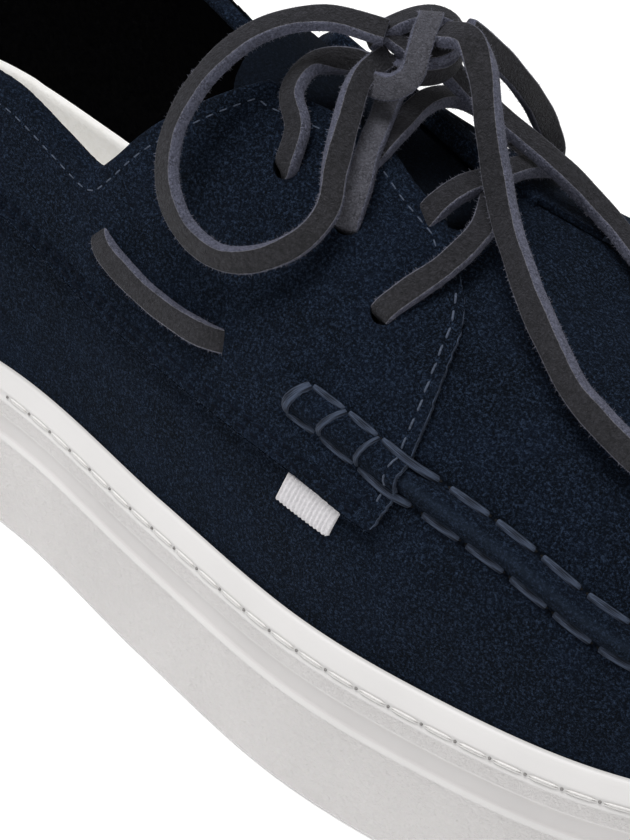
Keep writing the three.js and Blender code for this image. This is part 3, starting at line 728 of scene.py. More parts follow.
def sweep(line, facing, half_width, half_height, power, corners, tip=0.0):
    """Net of a rounded section carried along a line, its flat side turned to facing."""
    way = unit(np.gradient(line, axis=0))
    facing = np.broadcast_to(facing, line.shape)
    normal = unit(facing - (facing * way).sum(-1, keepdims=True) * way)
    across = np.cross(way, normal)
    turn = np.linspace(0, 2 * np.pi, corners + 1)
    turn[-1] = 0
    x = np.sign(np.cos(turn)) * np.abs(np.cos(turn)) ** (2 / power)
    y = np.sign(np.sin(turn)) * np.abs(np.sin(turn)) ** (2 / power)
    share = np.linspace(0, 1, len(line))
    ends = np.ones(len(line))
    if tip:
        ends = np.sqrt(np.clip(1 - (np.abs(share - 0.5) * 2) ** tip, 0.02, 1))
    wide, high = half_width * ends, half_height * ends
    return (
        line[:, None]
        + across[:, None] * (x[None, :] * wide[:, None])[..., None]
        + normal[:, None] * (y[None, :] * high[:, None])[..., None]
    )


lace_hairs, edge_hairs = [], []
hair_draw = np.random.default_rng(7)
lace_hairs_a_mm, edge_hairs_a_mm, hair_radius = 24, 14, 0.028


def note_hairs(store, net_points, line, per_mm, shares, shortest, longest):
    """Picks roots and tips of loose fibres, near the given shares of the way round a section."""
    columns, rows = net_points.shape[0], net_points.shape[1] - 1
    count = int(per_mm * run_along(line)[-1])
    column = hair_draw.integers(0, columns - 1, count)
    share = hair_draw.choice(shares, count) + hair_draw.uniform(-0.13, 0.13, count)
    row = (share * rows).round().astype(int) % rows
    part = hair_draw.uniform(0, 1, (count, 1))
    root = net_points[column, row] * (1 - part) + net_points[column + 1, row] * part
    out = unit(root - (line[column] * (1 - part) + line[column + 1] * part))
    lean = unit(out + hair_draw.normal(0, 0.45, (count, 3)))
    length = shortest + (longest - shortest) * hair_draw.uniform(0, 1, (count, 1)) ** 2
    store.append((root - out * 0.1, root + lean * length))


def thong(name, route, facing, *nodes, scale=1.0):
    line, length = smooth_route(route)
    facing = np.asarray(facing)
    knots = np.linspace(0, 1, len(facing))
    if len(facing) == len(route):
        knots = run_along(np.asarray(route, float))
        knots = knots / knots[-1]
    turned = read_line(facing, knots, np.linspace(0, 1, len(line)))
    count = np.arange(len(line))
    uneven = 1 + 0.035 * np.sin(count * 0.21) + 0.02 * np.sin(count * 0.57)
    net_points = sweep(line, turned, lace_width * scale / 2 * uneven, lace_thickness / 2, 6.0, 24)
    piece = net_piece(name, net_points, [lace_leather], "lace_leather", cap=True)
    # the two cut edges, and less often the flesh side
    note_hairs(lace_hairs, net_points, line, lace_hairs_a_mm, [0.0, 0.5, 0.0, 0.5, 0.75], 0.15, 0.75)
    if nodes:
        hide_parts(*nodes)
    return piece, line, length


def cord_thong(name, route, facing, node, scale=1.0):
    piece, line, length = thong(name, route, facing, node, scale=scale)
    return piece


def seen(toward, sideways=0.0, upward=0.0):
    return view_back * toward + view_right * sideways + view_up * upward


outer_loop = [[160, -7, 119.6], [150.5, -11.5, 120], [143, -18.5, 117], [139.5, -27, 111],
              [138.4, -33.6, 102], [141.2, -37.6, 94.6], [146.6, -39.4, 89.6], [153.8, -39.6, 87.6],
              [160, -38, 89], [166, -33.6, 93.4], [167.4, -28.6, 98], [165, -24.4, 103],
              [162, -18.4, 108.6], [159.8, -12.4, 113], [160.4, -6, 115]]
inner_loop = [[168.6, 4.2, 119.6], [170.5, 7.3, 116.6], [172.6, 11.9, 112], [174.7, 16.1, 107],
              [175.7, 20.7, 101.5], [176.5, 24.8, 95.6], [177.2, 26.9, 90.9], [176.4, 27.7, 87.4],
              [172.7, 28.3, 87.4], [168.3, 26.7, 90.3], [164.6, 21.8, 95.7], [162.1, 15.3, 102.7],
              [161.6, 8.4, 111]]
outer_end = [[168, -2.4, 121], [173, -3, 122.4], [177.6, -4.6, 119.4], [182.4, -7.6, 112.4],
             [186.6, -9.4, 105], [191.4, -12.4, 100], [197, -16.6, 97.4], [203, -20.6, 94.4],
             [209.6, -23.8, 90.8], [216.6, -27, 87.6], [222.8, -28.4, 85.6], [229, -29, 83.6],
             [240, -29.6, 80.6]]
inner_end = [[166.2, 3.4, 112.1], [170, 6.2, 107.7], [174.9, 8.1, 104.6], [180.6, 8.8, 102.4],
             [186.2, 9.1, 100.4], [190.4, 10.3, 97.9], [194.1, 11.5, 95.1], [198.9, 11.1, 93],
             [206.2, 8.2, 91.3], [214.8, 3.9, 90.4]]


def radial(route, centre, outward, toward):
    """Facings that look away from the middle of a loop and towards the viewer."""
    away = unit(np.asarray(route, float) - centre)
    return away * np.reshape(outward, (-1, 1)) + view_back * np.reshape(toward, (-1, 1))


outer_turns = [0.4, 0.5, 0.6, 0.75, 0.8, 0.8, 0.7, 0.5, 0.3, 0.0, -0.1, 0.1, 0.45, 0.6, 0.6]
outer_facing = radial(outer_loop, (152, -26.5, 103), outer_turns, 0.7)
inner_facing = radial(inner_loop, (169, 18, 104), 0.3, 0.9)
end_facing = [seen(0.7, -0.2, 0.7), seen(0.75, -0.1, 0.65), seen(0.8, -0.5, 0.2)]
end_facing += [seen(0.75, -0.65, -0.1)] * (len(outer_end) - len(end_facing))
cord_thong("loop_outer", outer_loop, outer_facing, "bow_loop_outer")
cord_thong("loop_inner", inner_loop, inner_facing, "bow_loop_inner")
cord_thong("end_outer", outer_end, end_facing, "lace_end_outer", scale=1.12)
cord_thong("end_inner", inner_end, [seen(0.8, 0.35, 0.4)] * 2, "lace_end_inner")

# %% [markdown]
# The knot is the lace wrapped round itself. One strap comes up over the front with its fuzzy
# flesh side out, and a second stretch passes over the top and under again behind it.
# %% The knot
knot_centre = np.array([163.5, -2, 116.5])
# millimetres to the right, up and towards the viewer
front_wrap = [(-9.4, -3.6, -1.5), (-7.6, -6.2, 1.6), (-4.2, -7.2, 4.4), (-1.4, -5.4, 5.6),
              (-0.3, -1.8, 6.2), (0.7, 1.4, 6.0), (1.7, 3.6, 4.4), (1.8, 4.4, 1.6), (0.6, 3.6, -1.2),
              (-1.2, 1.6, -2.6)]
top_band = [(-7.8, 0.6, -1.0), (-5.4, 2.6, 0.4), (-2.6, 4.0, 1.0), (0.4, 4.9, 1.0), (3.2, 5.0, 0.6),
            (5.8, 3.9, -0.6), (7.0, 1.6, -2.4), (6.3, -1.2, -2.6), (4.4, -3.4, -1.4), (1.6, -4.3, 0.2),
            (-1.6, -4.2, 0.4), (-5.0, -3.0, -1.0)]
middle_pass = [(-7.2, 2.6, -1.2), (-4.6, 2.0, 0.4), (-2.4, 0.2, 1.2), (-0.2, -1.2, 1.4),
               (2.2, -1.4, 1.6), (4.6, -0.4, 1.4), (6.4, 1.4, 0.4)]


def in_view(places):
    return [knot_centre + view_right * a + view_up * b + view_back * c for a, b, c in places]


band_route, wrap_route, core_route = (in_view(a) for a in (top_band, front_wrap, middle_pass))
band, _, _ = thong("knot_band", band_route, radial(band_route, knot_centre, 0.9, 0.45))
core, _, _ = thong("knot_middle", core_route, [seen(0.8, 0.1, 0.6)] * 2)
wrap_facing = [-seen(0.9, 0.0, -0.3)] * 5 + [-seen(0.8, 0.2, 0.4), -seen(0.5, 0.2, 0.8)]
wrap_facing += [-seen(0.0, 0.0, 1.0), seen(0.6, 0.0, -0.6), seen(0.9, 0.0, -0.3)]
cord_thong("knot_wrap", wrap_route, wrap_facing, "bow_knot")
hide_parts("bow_knot")
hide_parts("bow_knot")

# %% Crossings of the lace over the throat
def hole_point(row, column, depth):
    return over(eyelet_rows[row][0] * sole_length, eyelet_rows[row][column] * ball_width, depth)[0]


def from_hole(row):
    """A bar's first two points: it comes up through a hole on the outer side."""
    return [hole_point(row, 1, depth) for depth in (-3, 1.0)]


# solid, piece, route, facing
bars = [
    ("lace_bars_front", "bar_front_crossing", [
        [177.6, -15.5, 94.4], [178.4, -12.4, 97.2], [179.6, -7.6, 98.9], [181, -1.8, 98.9],
        [182.2, 7, 98], [183.2, 12.5, 96.4], [183.9, 18, 93.6]], seen(0.8, 0, 0.6)),
    ("lace_bars_front", "bar_front", from_hole(2) + [
        [184, -27.2, 89.6], [186.8, -21.4, 93.4], [187.2, -12.1, 96.7], [184.6, -6, 97.8],
        [181.6, -1, 98.8]], seen(0.9, -0.2, 0.2)),
    ("lace_bars_rear", "bar_rear_crossing", [
        [164.8, -16.5, 98.4], [165.2, -12.6, 101.6], [165.6, -7.6, 104.4], [165, 2, 105.6],
        [166, 10, 103.2], [168.4, 15.2, 100]], seen(0.8, 0, 0.6)),
    ("lace_bars_rear", "bar_rear", from_hole(1) + [
        [168, -21.2, 99.2], [165.6, -16, 103], [163, -9, 105.7], [159.5, -1, 107.3],
        [156.4, 8, 105.6], [155, 16, 102]], -seen(0.9, -0.2, 0.1)),
    ("lace_bars_rear", "bar_top", from_hole(0) + [
        [153.4, -19.6, 103.7], [149.6, -17, 107.6], [149, -11, 110.4], [153.5, -5, 110.6],
        [158.6, -1.5, 109]], seen(0.7, -0.7, 0.1)),
]
for node, name, route, facing in bars:
    thong(name, route, [facing] * 2, node)

# %% [markdown]
# The cup sole is one moulding. Its side is drawn as a profile of height and inset, rounded at
# its corners as a mould is, and carried round the outline. The same net goes on under the
# shoe to the middle of the tread, and inside over the rim down to the floor of the cup.
# %% The sole
sole_side = [(0.000, 1.0), (0.012, 0.35), (0.035, 0.0), (0.580, 0.0), (0.596, -0.15), (0.612, 0.05),
             (0.630, 0.7), (0.735, 0.8), (0.752, 0.2), (0.835, 0.2), (0.850, 0.05), (0.862, 0.2),
             (0.872, 0.5), (0.902, 0.5), (0.912, 0.4), (0.985, 2.4), (1.000, rim_wall)]
flex_grooves = [0.07, 0.13, 0.19, 0.56, 0.60, 0.64, 0.68]
profile_samples, profile_rows, corner_reach, turn_weight = 1200, 62, 6, 60
sole_columns, bottom_rows = 520, 46


def around(u):
    """(s, side) on the way round the shoe: along the outer side to the toe and back."""
    return np.where(u < 0.5, 2 * u, 2 - 2 * u), np.where(u < 0.5, OUTER, INNER)


def running_mean(values, count, mode):
    return np.convolve(values, np.ones(count) / count, mode)


def profile():
    """The side's profile with rounded corners, as (z, inset)."""
    corners = np.array(sole_side) * [rim_height, 1]
    run = run_along(corners)
    line = read_line(corners, run, np.linspace(0, run[-1], profile_samples))
    padded = np.pad(line, ((corner_reach, corner_reach), (0, 0)), mode="edge")
    soft = np.stack([running_mean(column, 2 * corner_reach + 1, "valid") for column in padded.T], -1)
    soft[0], soft[-1] = corners[0], corners[-1]
    # rows lie closer together where the profile turns
    upward, inward = np.gradient(soft[:, 0]), np.gradient(soft[:, 1])
    turn = np.abs(np.gradient(np.arctan2(inward, upward)))
    weight = np.cumsum(1 + turn_weight * running_mean(turn, 15, "same"))
    samples = np.arange(profile_samples)
    at = np.interp(np.linspace(weight[0], weight[-1], profile_rows), weight, samples)
    return read_line(soft, samples, at)


def tread_height(x, y, rim_share):
    """How far the bottom is cut in: flex grooves right across, and fine waved cuts between."""
    near = np.min(np.abs(x[..., None] / sole_length - np.array(flex_grooves)), axis=-1) * sole_length
    groove = 1.6 * (1 - smooth_step(1.0, 1.5, near))
    wave = np.abs(((x + 1.6 * np.sin(y * 2 * np.pi / 13)) / 5.2) % 1 - 0.5) * 5.2
    sipe = 0.7 * (1 - smooth_step(0.25, 0.6, wave))
    arch = smooth_step(0.262, 0.275, x / sole_length) * (1 - smooth_step(0.475, 0.488, x / sole_length))
    pocket = arch * (1 - smooth_step(0.145, 0.155, np.abs(y / ball_width)))
    inner = smooth_step(0.05, 0.09, rim_share)
    return np.maximum(groove, inner * np.maximum(sipe * (1 - arch), 1.4 * pocket))


def sole_net():
    s, side = around(np.linspace(0, 1, sole_columns + 1))
    line = rib(s, side)
    spine = np.stack([line["top"][0], line["top"][1]], -1)
    rows = []
    ex, ey = outline(s, side, 1.0)
    for share in np.linspace(1, 0, bottom_rows)[:-1]:
        x = ex + (spine[:, 0] - ex) * share
        y = ey + (spine[:, 1] - ey) * share
        rows.append(np.stack([x, y, spring(x) + tread_height(x, y, share)], -1))
    for z, inset in profile():
        x, y = outline(s, side, inset)
        rows.append(np.stack([x, y, z + spring(x)], -1))
    x, y = outline(s, side, rim_wall)
    for depth in (0.4, 0.7, 1.0):
        rows.append(np.stack([x, y, (rim_height + spring(x)) * (1 - depth) + cup_floor(x) * depth], -1))
    for share in (0.5, 1.0):
        cx, cy = x + (spine[:, 0] - x) * share, y + (spine[:, 1] - y) * share
        rows.append(np.stack([cx, cy, cup_floor(cx)], -1))
    return np.stack(rows, 1)


sole_points = sole_net()
side_rows = profile()[:, 0] / rim_height
last_row = sole_points.shape[1] - 1


def row_at(height):
    """Share of the way up the net where the side is at a share of the rim's height."""
    return (bottom_rows - 1 + np.argmin(np.abs(side_rows - height))) / last_row


sole_bands = [
    (row_at(0.03), row_at(0.590), 1), (row_at(0.618), row_at(0.745), 2),
    (row_at(0.756), row_at(0.845), 1), (0, (bottom_rows - 1) / last_row, 1),
]
sole = net_piece("sole_moulded", sole_points, [rubber_smooth, rubber_grained, rubber_sunk_shaded],
                 "sole_rubber", merge=2e-6, bands=sole_bands)
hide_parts("cup_sole")

# %% [markdown]
# The groove under the rim holds a row of thick twin-ply stitches. A stitch is 5.3 millimetres
# long and dives into a hole at each end. Each ply is a thin tube with tapered ends, and each
# hole is a small grey ball: painted shade of the hole.
# %% Groove stitches
sole_pitch, sole_stitch_from, sole_stitch_gap = 6.4, 128.3, 1.1
groove_z, groove_inset = 0.886 * rim_height, 0.5
ply_apart, ply_half_width, ply_half_height, sole_hole_radius = 0.21, 0.22, 0.2, 0.36


def add_tube(mesh, line, facing, half_width, half_height, tip=6.0):
    lay_grid(mesh, sweep(line, facing, half_width, half_height, 2.2, 8, tip))


def add_hole(mesh, place, radius):
    made = bmesh.ops.create_icosphere(mesh, subdivisions=1, radius=radius * 0.001)
    bmesh.ops.translate(mesh, verts=made["verts"], vec=Vector(to_metres(place)))


def place_round(run):
    """(s, side) at a length run round the outline from the heel."""
    whole = outline_length[-1]
    on_outer = run < toe_length
    return (np.where(on_outer, run / toe_length, (whole - run) / (whole - toe_length)),
            np.where(on_outer, OUTER, INNER))


stitches, pinholes = bmesh.new(), bmesh.new()
for k in range(int(outline_length[-1] / sole_pitch)):
    at = (sole_stitch_from + k * sole_pitch) % outline_length[-1]
    run = at + np.linspace(sole_stitch_gap / 2, sole_pitch - sole_stitch_gap / 2, 6)
    s, side = place_round(run)
    x, y = outline(s, side, groove_inset - 0.12)
    away_x, away_y = outline(s, side, groove_inset - 1.12)
    outward = np.stack([away_x - x, away_y - y, 0 * x], -1)
    for lift in (-ply_apart, ply_apart):
        line = np.stack([x, y, groove_z + lift + spring(x)], -1)
        add_tube(stitches, line, outward, ply_half_width, ply_half_height)
    x, y = outline(*place_round(at), groove_inset - 0.02)
    # a grey ball stands for the hole: painted shade
    add_hole(pinholes, (x, y, groove_z + spring(x)), sole_hole_radius)
finish_piece("sole_stitches", stitches, [sole_thread], merge=1e-6)
finish_piece("sole_stitch_holes", pinholes, [sole_hole_shade])

# %% [markdown]
# The upper is one skin of suede over the last, from inside the cup up to the topline. Its
# sewn ridge runs round the toe like the seam of a moccasin: the rows of the net lie close
# together there, and the leather pinches in a little at each stitch.
# %% The upper
def spread_rows(v_low, v_high, top, parts):
    """Rows from the feather edge to the top, with parts = (below, on the ridge, above)."""
    ends = [(0 * v_low, v_low), (v_low, v_high), (v_high, top)]
    rows = [a[:, None] + (b - a)[:, None] * np.linspace(0, 1, count + 1)[None, :-1]
            for (a, b), count in zip(ends, parts)]
    return np.concatenate([*rows, top[:, None]], 1)


def upper_columns():
    """Places round the shoe, closer together at the throat's front end."""
    even = np.linspace(0, 1, 381)
    dense = [np.linspace(0.288, 0.312, 40), np.linspace(0.688, 0.712, 40)]
    return np.unique(np.concatenate([even, *dense]).round(6))


columns = upper_columns()
column_s, column_side = around(columns)


def upper_net(offset, parts):
    s, side = column_s, column_side
    at, half, _ = seam(s, side)
    v = spread_rows(at - 1.7 * half, at + 1.7 * half, by_side(upper_cut, side, s), parts)
    points = leather(s[:, None], side[:, None], v, offset)
    foot = points[:, :1].copy()
    foot[..., 2] = cup_floor(foot[..., 0]) + fit_gap
    return np.concatenate([foot, points], 1)


def open_holes(mesh, offset):
    """Opens the lace holes: corners inside are taken out, and those round them drawn to a circle."""
    radius = eyelet_radius * 0.001
    for along, *sideways in eyelet_rows:
        for across in sideways:
            place, where = over(along * sole_length, across * ball_width, offset)
            centre = Vector(to_metres(place))
            normal = Vector(last_ways(*where)[2])
            near = [v for v in mesh.verts if (v.co - centre).length < radius + 0.0012]
            inside = {v for v in near if (v.co - centre).length < radius * 0.86}
            kept = [v for v in near if v not in inside]
            bmesh.ops.delete(mesh, geom=list(inside), context="VERTS")
            for v in kept:
                if v.is_boundary:
                    flat = v.co - centre
                    flat -= flat.dot(normal) * normal
                    v.co += flat.normalized() * radius - flat


# the upper's ridge carries painted sheen and painted shade in its creases
upper = net_piece("upper_suede", upper_net(0.0, upper_parts), [suede_ridge_wear_sheen_shade], "suede", merge=2e-6,
                  change=lambda mesh: open_holes(mesh, 0.0))
thicken(upper, 1.0)
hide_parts("upper")

lining = net_piece("lining", upper_net(-1.15, (8, 4, 18)), [lining_leather], "suede", merge=2e-6)
thicken(lining, 0.75)

# %% [markdown]
# The saddle is an overlay on each side. It starts at the heel seam as the collar band, widens
# to the eyelet flap, and covers the rear end of the ridge. Its cut edges are left raw.
# %% Saddles
def saddle_corners(side):
    """s at the lower and the upper front corner of the flap, and v at both."""
    front_v = np.interp(saddle_low[side], net_v, flap_front[side])
    low_s = net_s[np.argmax(front_v <= net_s)]
    top = last_point(net_s, side, saddle_cut[side])[:, 0]
    high_s = net_s[np.argmax(top >= flap_rows[side][0, 0] * sole_length)]
    low_v, high_v = (float(by_side(t, side, s)) for t, s in ((saddle_low, low_s), (saddle_cut, high_s)))
    return low_s, low_v, high_s, high_v


def saddle_sv(side, u, r):
    """(s, v) over the saddle: u runs from the heel to the front edge, r from the low edge up."""
    low_s, low_v, high_s, high_v = saddle_corners(side)
    heel_low, heel_high = by_side(saddle_low, side, 0), by_side(saddle_cut, side, 0)

    def between(low, high):
        return (1 - r) * low + r * high

    # four edges span the net: each pair of opposite edges is joined, and the corners taken off
    front_v = low_v + (high_v - low_v) * r
    front_s = by_side(flap_front, side, front_v, net_v)
    s_low, s_high = u * low_s, u * high_s
    v_low, v_high = by_side(saddle_low, side, s_low), by_side(saddle_cut, side, s_high)
    s = between(s_low, s_high) + u * front_s - u * between(low_s, high_s)
    v = (between(v_low, v_high) + (1 - u) * between(heel_low, heel_high) + u * front_v
         - between(heel_low * (1 - u) + low_v * u, heel_high * (1 - u) + high_v * u))
    return s, v


def curl(from_edge):
    """How far a cut edge bends away from the leather below it, by the distance from the edge."""
    return 0.7 * np.exp(-from_edge / 2.5)


def open_saddle(mesh):
    open_holes(mesh, on_saddle)


# how far up the flap each row of the net is, in millimetres
saddle_rise = 45
for side, word in sides:
    u, r = np.meshgrid(np.linspace(0, 1, 241), np.linspace(0, 1, 57), indexing="ij")
    s, v = saddle_sv(side, u if side < 0 else 1 - u, r)
    saddle = net_piece(f"saddle_{word}_suede", leather(s, side, v, on_saddle + curl(r * saddle_rise)),
                       [suede], "suede", merge=None, change=open_saddle)
    thicken(saddle, overlay, 0.35)
    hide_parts(f"saddle_{word}")

# %% [markdown]
# The saddle's cut edge is ragged with loose fibres. It is a narrow rounded strip: near black along the
# low edge, painted shadow under the step, and a thin paler line up the flap's front.
# %% Raw edge of the saddles
for side, word in sides:
    along = np.linspace(0.004, saddle_corners(side)[0], 420)
    front_s, front_v = saddle_sv(side, np.ones(80), np.linspace(0.012, 0.985, 80))
    # the low strip is painted shadow under the saddle's edge
    for part, s, v, from_edge, half_width, material in (
            ("low", along, by_side(saddle_low, side, along), 0.0, 0.24, edge_shadow_paint),
            ("front", front_s, front_v, np.linspace(0, 30, 80), 0.12, cut_edge)):
        middle_line = leather(s, side, v, fit_gap + overlay * 0.55 + curl(from_edge))
        strip = sweep(middle_line, last_ways(s, side, v)[2], half_width, overlay * 0.45, 3.0, 8)
        note_hairs(edge_hairs, strip, middle_line, edge_hairs_a_mm, [0.1, 0.3, 0.5, 0.7, 0.9], 0.2, 0.8)
        net_piece(f"saddle_cut_edge_{word}_{part}", strip, [material], "suede", merge=1e-6, cap=True)

# %% [markdown]
# At the topline the leather is turned over the lining. One rounded roll follows the edge from
# one flap round the heel to the other and closes the layers under it.
# %% The turned edge
roll_s = np.concatenate([np.linspace(saddle_corners(OUTER)[2], 0, 300),
                         np.linspace(0, saddle_corners(INNER)[2], 300)[1:]])
roll_side = np.concatenate([np.full(300, OUTER), np.full(299, INNER)])
roll_v = by_side(saddle_cut, roll_side, roll_s)
roll_line, roll_out = skin(roll_s, roll_side, roll_v, -0.25), last_ways(roll_s, roll_side, roll_v)[2]
roll = sweep(roll_line, roll_out, 1.05, 1.85, 2.4, 16)
net_piece("collar_turned_edge", roll, [suede], "suede", merge=1e-6, cap=True)

# %% [markdown]
# The tongue lies under the throat, and its rounded rear end stands up behind the flaps.
# %% The tongue
u, r = np.meshgrid(np.linspace(0, 1, 71), np.linspace(0, 1, 45), indexing="ij")
along = tongue_start + (tongue_end - tongue_start) * u**1.3
low, high = (read_table(tongue_rows, k, along) * ball_width for k in (1, 2))
# it sags between the flaps, and lies against them at its sides
sag = 1.6 * np.sin(np.pi * r) ** 2 * smooth_step(0.47, 0.52, along)
tongue_points, _ = over(along * sole_length, low + (high - low) * r, -wall - fit_gap - sag)
# its darker suede is painted shade under the flaps
tongue = net_piece("tongue_suede", tongue_points, [tongue_suede_shaded], "suede", merge=None)
thicken(tongue, tongue_thickness, 0.6)
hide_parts("tongue")

# %% [markdown]
# The footbed is a moulded insole of pale leather over foam. It cups the heel, and its thin
# edge shows inside the collar.
# %% The footbed
insole_edge, insole_floor = 2.0, 4.5


def footbed_net():
    s, side = around(np.linspace(0, 1, 241))
    edge_v = by_side(insole_cut, side, s)
    outside = -wall - fit_gap
    spine = np.stack(rib(s, side)["top"][:2], -1)
    inner = skin(s, side, 0, outside - insole_edge)[:, :2]

    def floor_row(share, height):
        """A row on the cup's floor, at a share of the way from the edge to the spine."""
        x, y = (inner + (spine - inner) * share).T
        return np.stack([x, y, cup_floor(x) + fit_gap + height], -1)

    rows = [floor_row(share, insole_floor) for share in np.linspace(1, 0.12, 16)]
    for share, lift in ((0.07, 0.35), (0.035, 1.2), (0.012, 2.6)):
        rows.append(floor_row(share, insole_floor + lift))
    rows += [skin(s, side, edge_v * k, outside - insole_edge) for k in np.linspace(0.04, 1, 10)]
    rows.append(skin(s, side, edge_v + 0.006, outside - insole_edge / 2))
    rows += [skin(s, side, edge_v * k, outside) for k in (1, 0.5, 0.02)]
    foot = skin(s, side, 0, outside)
    foot[:, 2] = cup_floor(foot[:, 0]) + fit_gap
    return np.stack([*rows, foot, floor_row(1, 0)], 1)


footbed = net_piece("footbed_moulded", footbed_net(), [footbed_leather], "footbed", merge=2e-6)
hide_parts("insole")

# %% [markdown]
# A short length of the lace runs in and out of the collar on each side.
# %% Collar thongs
collar_route = [(125.2, 75.9), (126.2, 75.3), (128.8, 74.2), (134.5, 72.4), (141, 71.2), (148.5, 70.8),
                (154, 71.0), (157, 71.3), (158.2, 71.4)]
collar_lift = [-0.6, 1.2, 2.5, 2.65, 2.65, 2.65, 2.5, 1.2, -0.6]
for side, word in sides:
    s, v = beside(*np.array(collar_route).T, side)
    route = skin(s, side, v, np.array(collar_lift) - 0.35)
    facing = last_ways(s, side, v)[2] + [0, 0, 0.12]
    thong(f"collar_thong_{word}", route, facing, f"collar_lace_{word}")

# %% [markdown]
# Raw leather edges are fuzzy. Each loose fibre is a needle with three sides. All of them are
# laid as one grid, and the faces that would join one fibre to the next are taken out again.
# %% Loose fibres
def lay_hairs(name, store, material):
    root, tip = (np.concatenate(part) for part in zip(*store))
    along = unit(tip - root)
    across = unit(np.cross(along, view_back + 0.01))
    over_way = np.cross(along, across)
    turn = np.array([0, 1, 2, 0]) * 2 * np.pi / 3
    ring = across[:, None] * np.cos(turn)[None, :, None] + over_way[:, None] * np.sin(turn)[None, :, None]
    bend = (root + tip) / 2 + hair_draw.normal(0, 0.06, root.shape)
    thickness = ((root, hair_radius), (bend, hair_radius * 0.7), (tip, 0))
    rows = [place[:, None] + ring * radius for place, radius in thickness]
    mesh = bmesh.new()
    lay_grid(mesh, np.stack(rows, 2).reshape(-1, 3, 3))
    # the grid numbers its corners row by row, so every fourth column of faces joins two fibres
    mesh.verts.index_update()
    columns = len(root) * 4
    joins = [face for face in mesh.faces if min(v.index % columns for v in face.verts) % 4 == 3]
    bmesh.ops.delete(mesh, geom=joins, context="FACES")
    finish_piece(name, mesh, [material], merge=1e-8)


lay_hairs("lace_fibres", lace_hairs, raw_fibre)
lay_hairs("saddle_edge_fibres", edge_hairs, edge_fibre)

# %% [markdown]
# A plain ribbed ribbon tab is caught under the saddle's low edge. Its ribs are real waves,
# nine tenths of a millimetre apart.
# %% Ribbon tab
u, r = np.meshgrid(np.linspace(0, 1, 113), np.linspace(0, 1, 17), indexing="ij")
tab_x = (0.5882 + 0.0368 * u + 0.0035 * r) * sole_length
tab_z = (0.584 - 0.004 * u + (0.062 + 0.002 * u) * r) * collar_height
s, v = beside(tab_x, tab_z, OUTER)
ribs = 0.17 * np.cos(2 * np.pi * u * 11.5 / 0.9)
fold = -0.55 * (1 - smooth_step(0.0, 0.1, r))
tab = net_piece("ribbon_tab_ribbed", skin(s, OUTER, v, 1.15 + ribs + fold), [ribbon], "ribbon")
thicken(tab, 0.8)
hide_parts("ribbon_tab")

# %% [markdown]
# The seams are sewn with waxed thread. The ridge has long stitches on both its sides, and where
# it comes out from under the flap, three rungs cross it. Each stitch is a flat thread that
# follows the leather between two holes. The flap, topline and saddle edge have fine stitches.
# %% Stitches on the last
def add_stitch(mesh, holes, side, start, end, half_width, half_height, lift, hole_radius=0, steps=9):
    """start and end are (s, v); the thread rises over the leather between two holes."""
    share = (1 - np.cos(np.linspace(0, np.pi, steps))) / 2
    s, v = (a + (b - a) * share for a, b in zip(start, end))
    height = np.interp(share, np.linspace(0, 1, len(lift)), lift) if np.ndim(lift) else lift
    rise = height + half_height * 0.9 * np.sin(np.pi * share) ** 0.4 - half_height * 0.5
    line, outward = leather(s, side, v, rise), last_ways(s, side, v)[2]
    add_tube(mesh, line, outward, half_width, half_height, tip=8.0)
    if hole_radius:
        for k in (0, -1):
            add_hole(holes, line[k] - outward[k] * half_height * 0.4, hole_radius)


def seam_place(x, side, row):
    """(s, v) on the ridge's upper (row 1) or lower (row -1) side where the shoe is at x."""
    s = np.interp(x, last_point(seam_s, side, seam(seam_s, side)[0])[:, 0], seam_s)
    at, half, _ = seam(s, side)
    return s, at + row * 1.2 * half


waxed, waxed_holes = bmesh.new(), bmesh.new()
# where the first stitches start, in x, and how far the third in each row lies off the leather
row_starts = {1: [176.6, 184.5, 191.8, 204.4], -1: [173.6, 181.0, 189.6, 201.2]}
down_the_flap = [on_saddle, on_saddle + 0.3, on_saddle + 0.5, on_saddle + 0.2, 0.1]
rung_half_widths, after_flap = (1.0, 0.62, 0.5), {1: 1.2, -1: 1.4}
waxed_half_width, waxed_half_height, flap_half_height = 0.75, 0.36, 0.4


def sew(side, start, end, lift, half_width=waxed_half_width, half_height=waxed_half_height, hole=0.45):
    add_stitch(waxed, waxed_holes, side, start, end, half_width, half_height, lift, hole)


for side in (OUTER, INNER):
    for row, starts in row_starts.items():
        places = [seam_place(x, side, row) for x in starts]
        for (s0, v0), (s1, v1), lift in zip(places, places[1:], (on_saddle, on_saddle, down_the_flap)):
            sew(side, (s0 + 0.0012, v0), (s1 - 0.0012, v1), lift, half_height=flap_half_height, hole=0.55)
    for x_low, x_high, half_width in zip(row_starts[-1], row_starts[1], rung_half_widths):
        ends = seam_place(x_low, side, -1), seam_place(x_high, side, 1)
        sew(side, *ends, on_saddle, half_width, flap_half_height, 0.5)
    arc = seam_arc[side]
    for row, starts in row_starts.items():
        first_arc = np.interp(seam_place(starts[-1] + after_flap[row], side, row)[0], seam_s, arc)
        count = int((arc[-1] - first_arc) / seam_pitch)
        pitch = (arc[-1] - first_arc) / count
        for k in range(count):
            pair = np.interp([first_arc + k * pitch + 0.35, first_arc + (k + 1) * pitch - 1.0], arc, seam_s)
            at, half, _ = seam(pair, side)
            v = at + row * 1.2 * half
            sew(side, (pair[0], v[0]), (pair[1], v[1]), 0.15)
finish_piece("ridge_stitches", waxed, [waxed_thread], merge=1e-6)
finish_piece("ridge_stitch_holes", waxed_holes, [hole_dark])


def move_up(s, side, v, mm):
    """v moved mm up the leather."""
    return v + mm / np.linalg.norm(last_ways(s, side, v)[1], axis=-1)


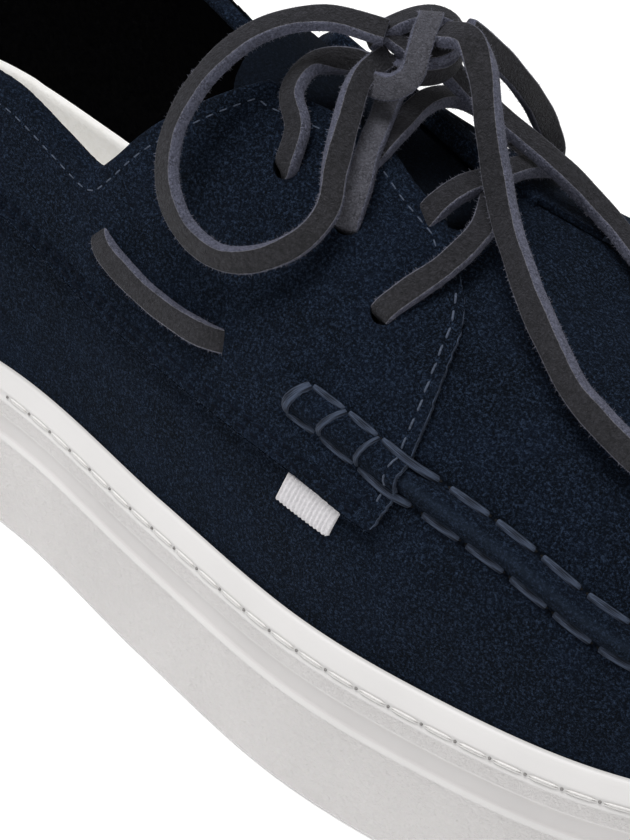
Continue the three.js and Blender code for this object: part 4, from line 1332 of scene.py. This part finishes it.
def stitch_row(mesh, s, side, v, pitch, gap, lift, size):
    """Even stitches along a line of (s, v)."""
    run = run_along(skin(s, side, v, lift))
    for k in range(max(int(run[-1] / pitch), 1)):
        ends = [k * pitch + gap / 2, (k + 1) * pitch - gap / 2]
        start, end = zip(np.interp(ends, run, s), np.interp(ends, run, v))
        add_stitch(mesh, None, side, start, end, size, size * 0.8, lift, steps=5)


fine, dark = bmesh.new(), bmesh.new()
for side in (OUTER, INNER):
    low_s, _, high_s, _ = saddle_corners(side)
    s = np.linspace(0.004, low_s - 0.004, 400)
    for mm in (1.3, 3.1):
        v = move_up(s, side, by_side(saddle_low, side, s), mm)
        stitch_row(dark, s, side, v, 3.2, 0.9, on_saddle + 0.05 + curl(mm), 0.26)
    s, v = saddle_sv(side, np.ones(200), np.linspace(0.03, 0.97, 200))
    s = s - 2.0 / np.linalg.norm(last_ways(s, side, v)[0], axis=-1)
    stitch_row(fine, s, side, v, 3.3, 1.1, on_saddle + 0.02, 0.2)
    s = np.linspace(0.12, high_s - 0.01, 500)
    v = move_up(s, side, by_side(saddle_cut, side, s), -3.4)
    stitch_row(fine, s, side, v, 2.5, 0.9, on_saddle - 0.06, 0.15)
finish_piece("flap_stitches", fine, [fine_thread], merge=1e-6)
finish_piece("saddle_edge_stitches", dark, [dark_thread], merge=1e-6)

# %% [markdown]
# The stage is a pale floor under soft studio light.
# %% Floor, world and lights
bpy.context.scene.view_settings.view_transform = "Standard"
floor_mesh = bmesh.new()
bmesh.ops.create_grid(floor_mesh, x_segments=1, y_segments=1, size=3)
floor_data = bpy.data.meshes.new("floor")
floor_mesh.to_mesh(floor_data)
floor_mesh.free()
floor = bpy.data.objects.new("floor", floor_data)
bpy.context.scene.collection.objects.link(floor)
floor_paint, _ = new_material("floor_paper")
floor_data.materials.append(close_material(floor_paint, {
    "Base Color": linear("#f7f7f7"), "Roughness": 0.9, "Emission Color": linear("#ffffff"),
    "Emission Strength": 0.18,
}))

world = bpy.data.worlds.new("studio")
bpy.context.scene.world = world
world.use_nodes = True
background = world.node_tree.nodes["Background"].inputs
background["Color"].default_value = WHITE
background["Strength"].default_value = 0.35


def area_light(name, place, size, power):
    light = bpy.data.objects.new(name, bpy.data.lights.new(name, "AREA"))
    bpy.context.scene.collection.objects.link(light)
    light.data.size = size
    light.data.energy = power
    light.location = place
    light.rotation_mode = "QUATERNION"
    light.rotation_quaternion = (Vector(place) - Vector((0, 0, 0.05))).to_track_quat("Z", "Y")


area_light("key", (-0.2, -0.22, 1.15), 0.55, 13.5)
area_light("fill", (0.9, -0.7, 0.7), 0.9, 2.0)
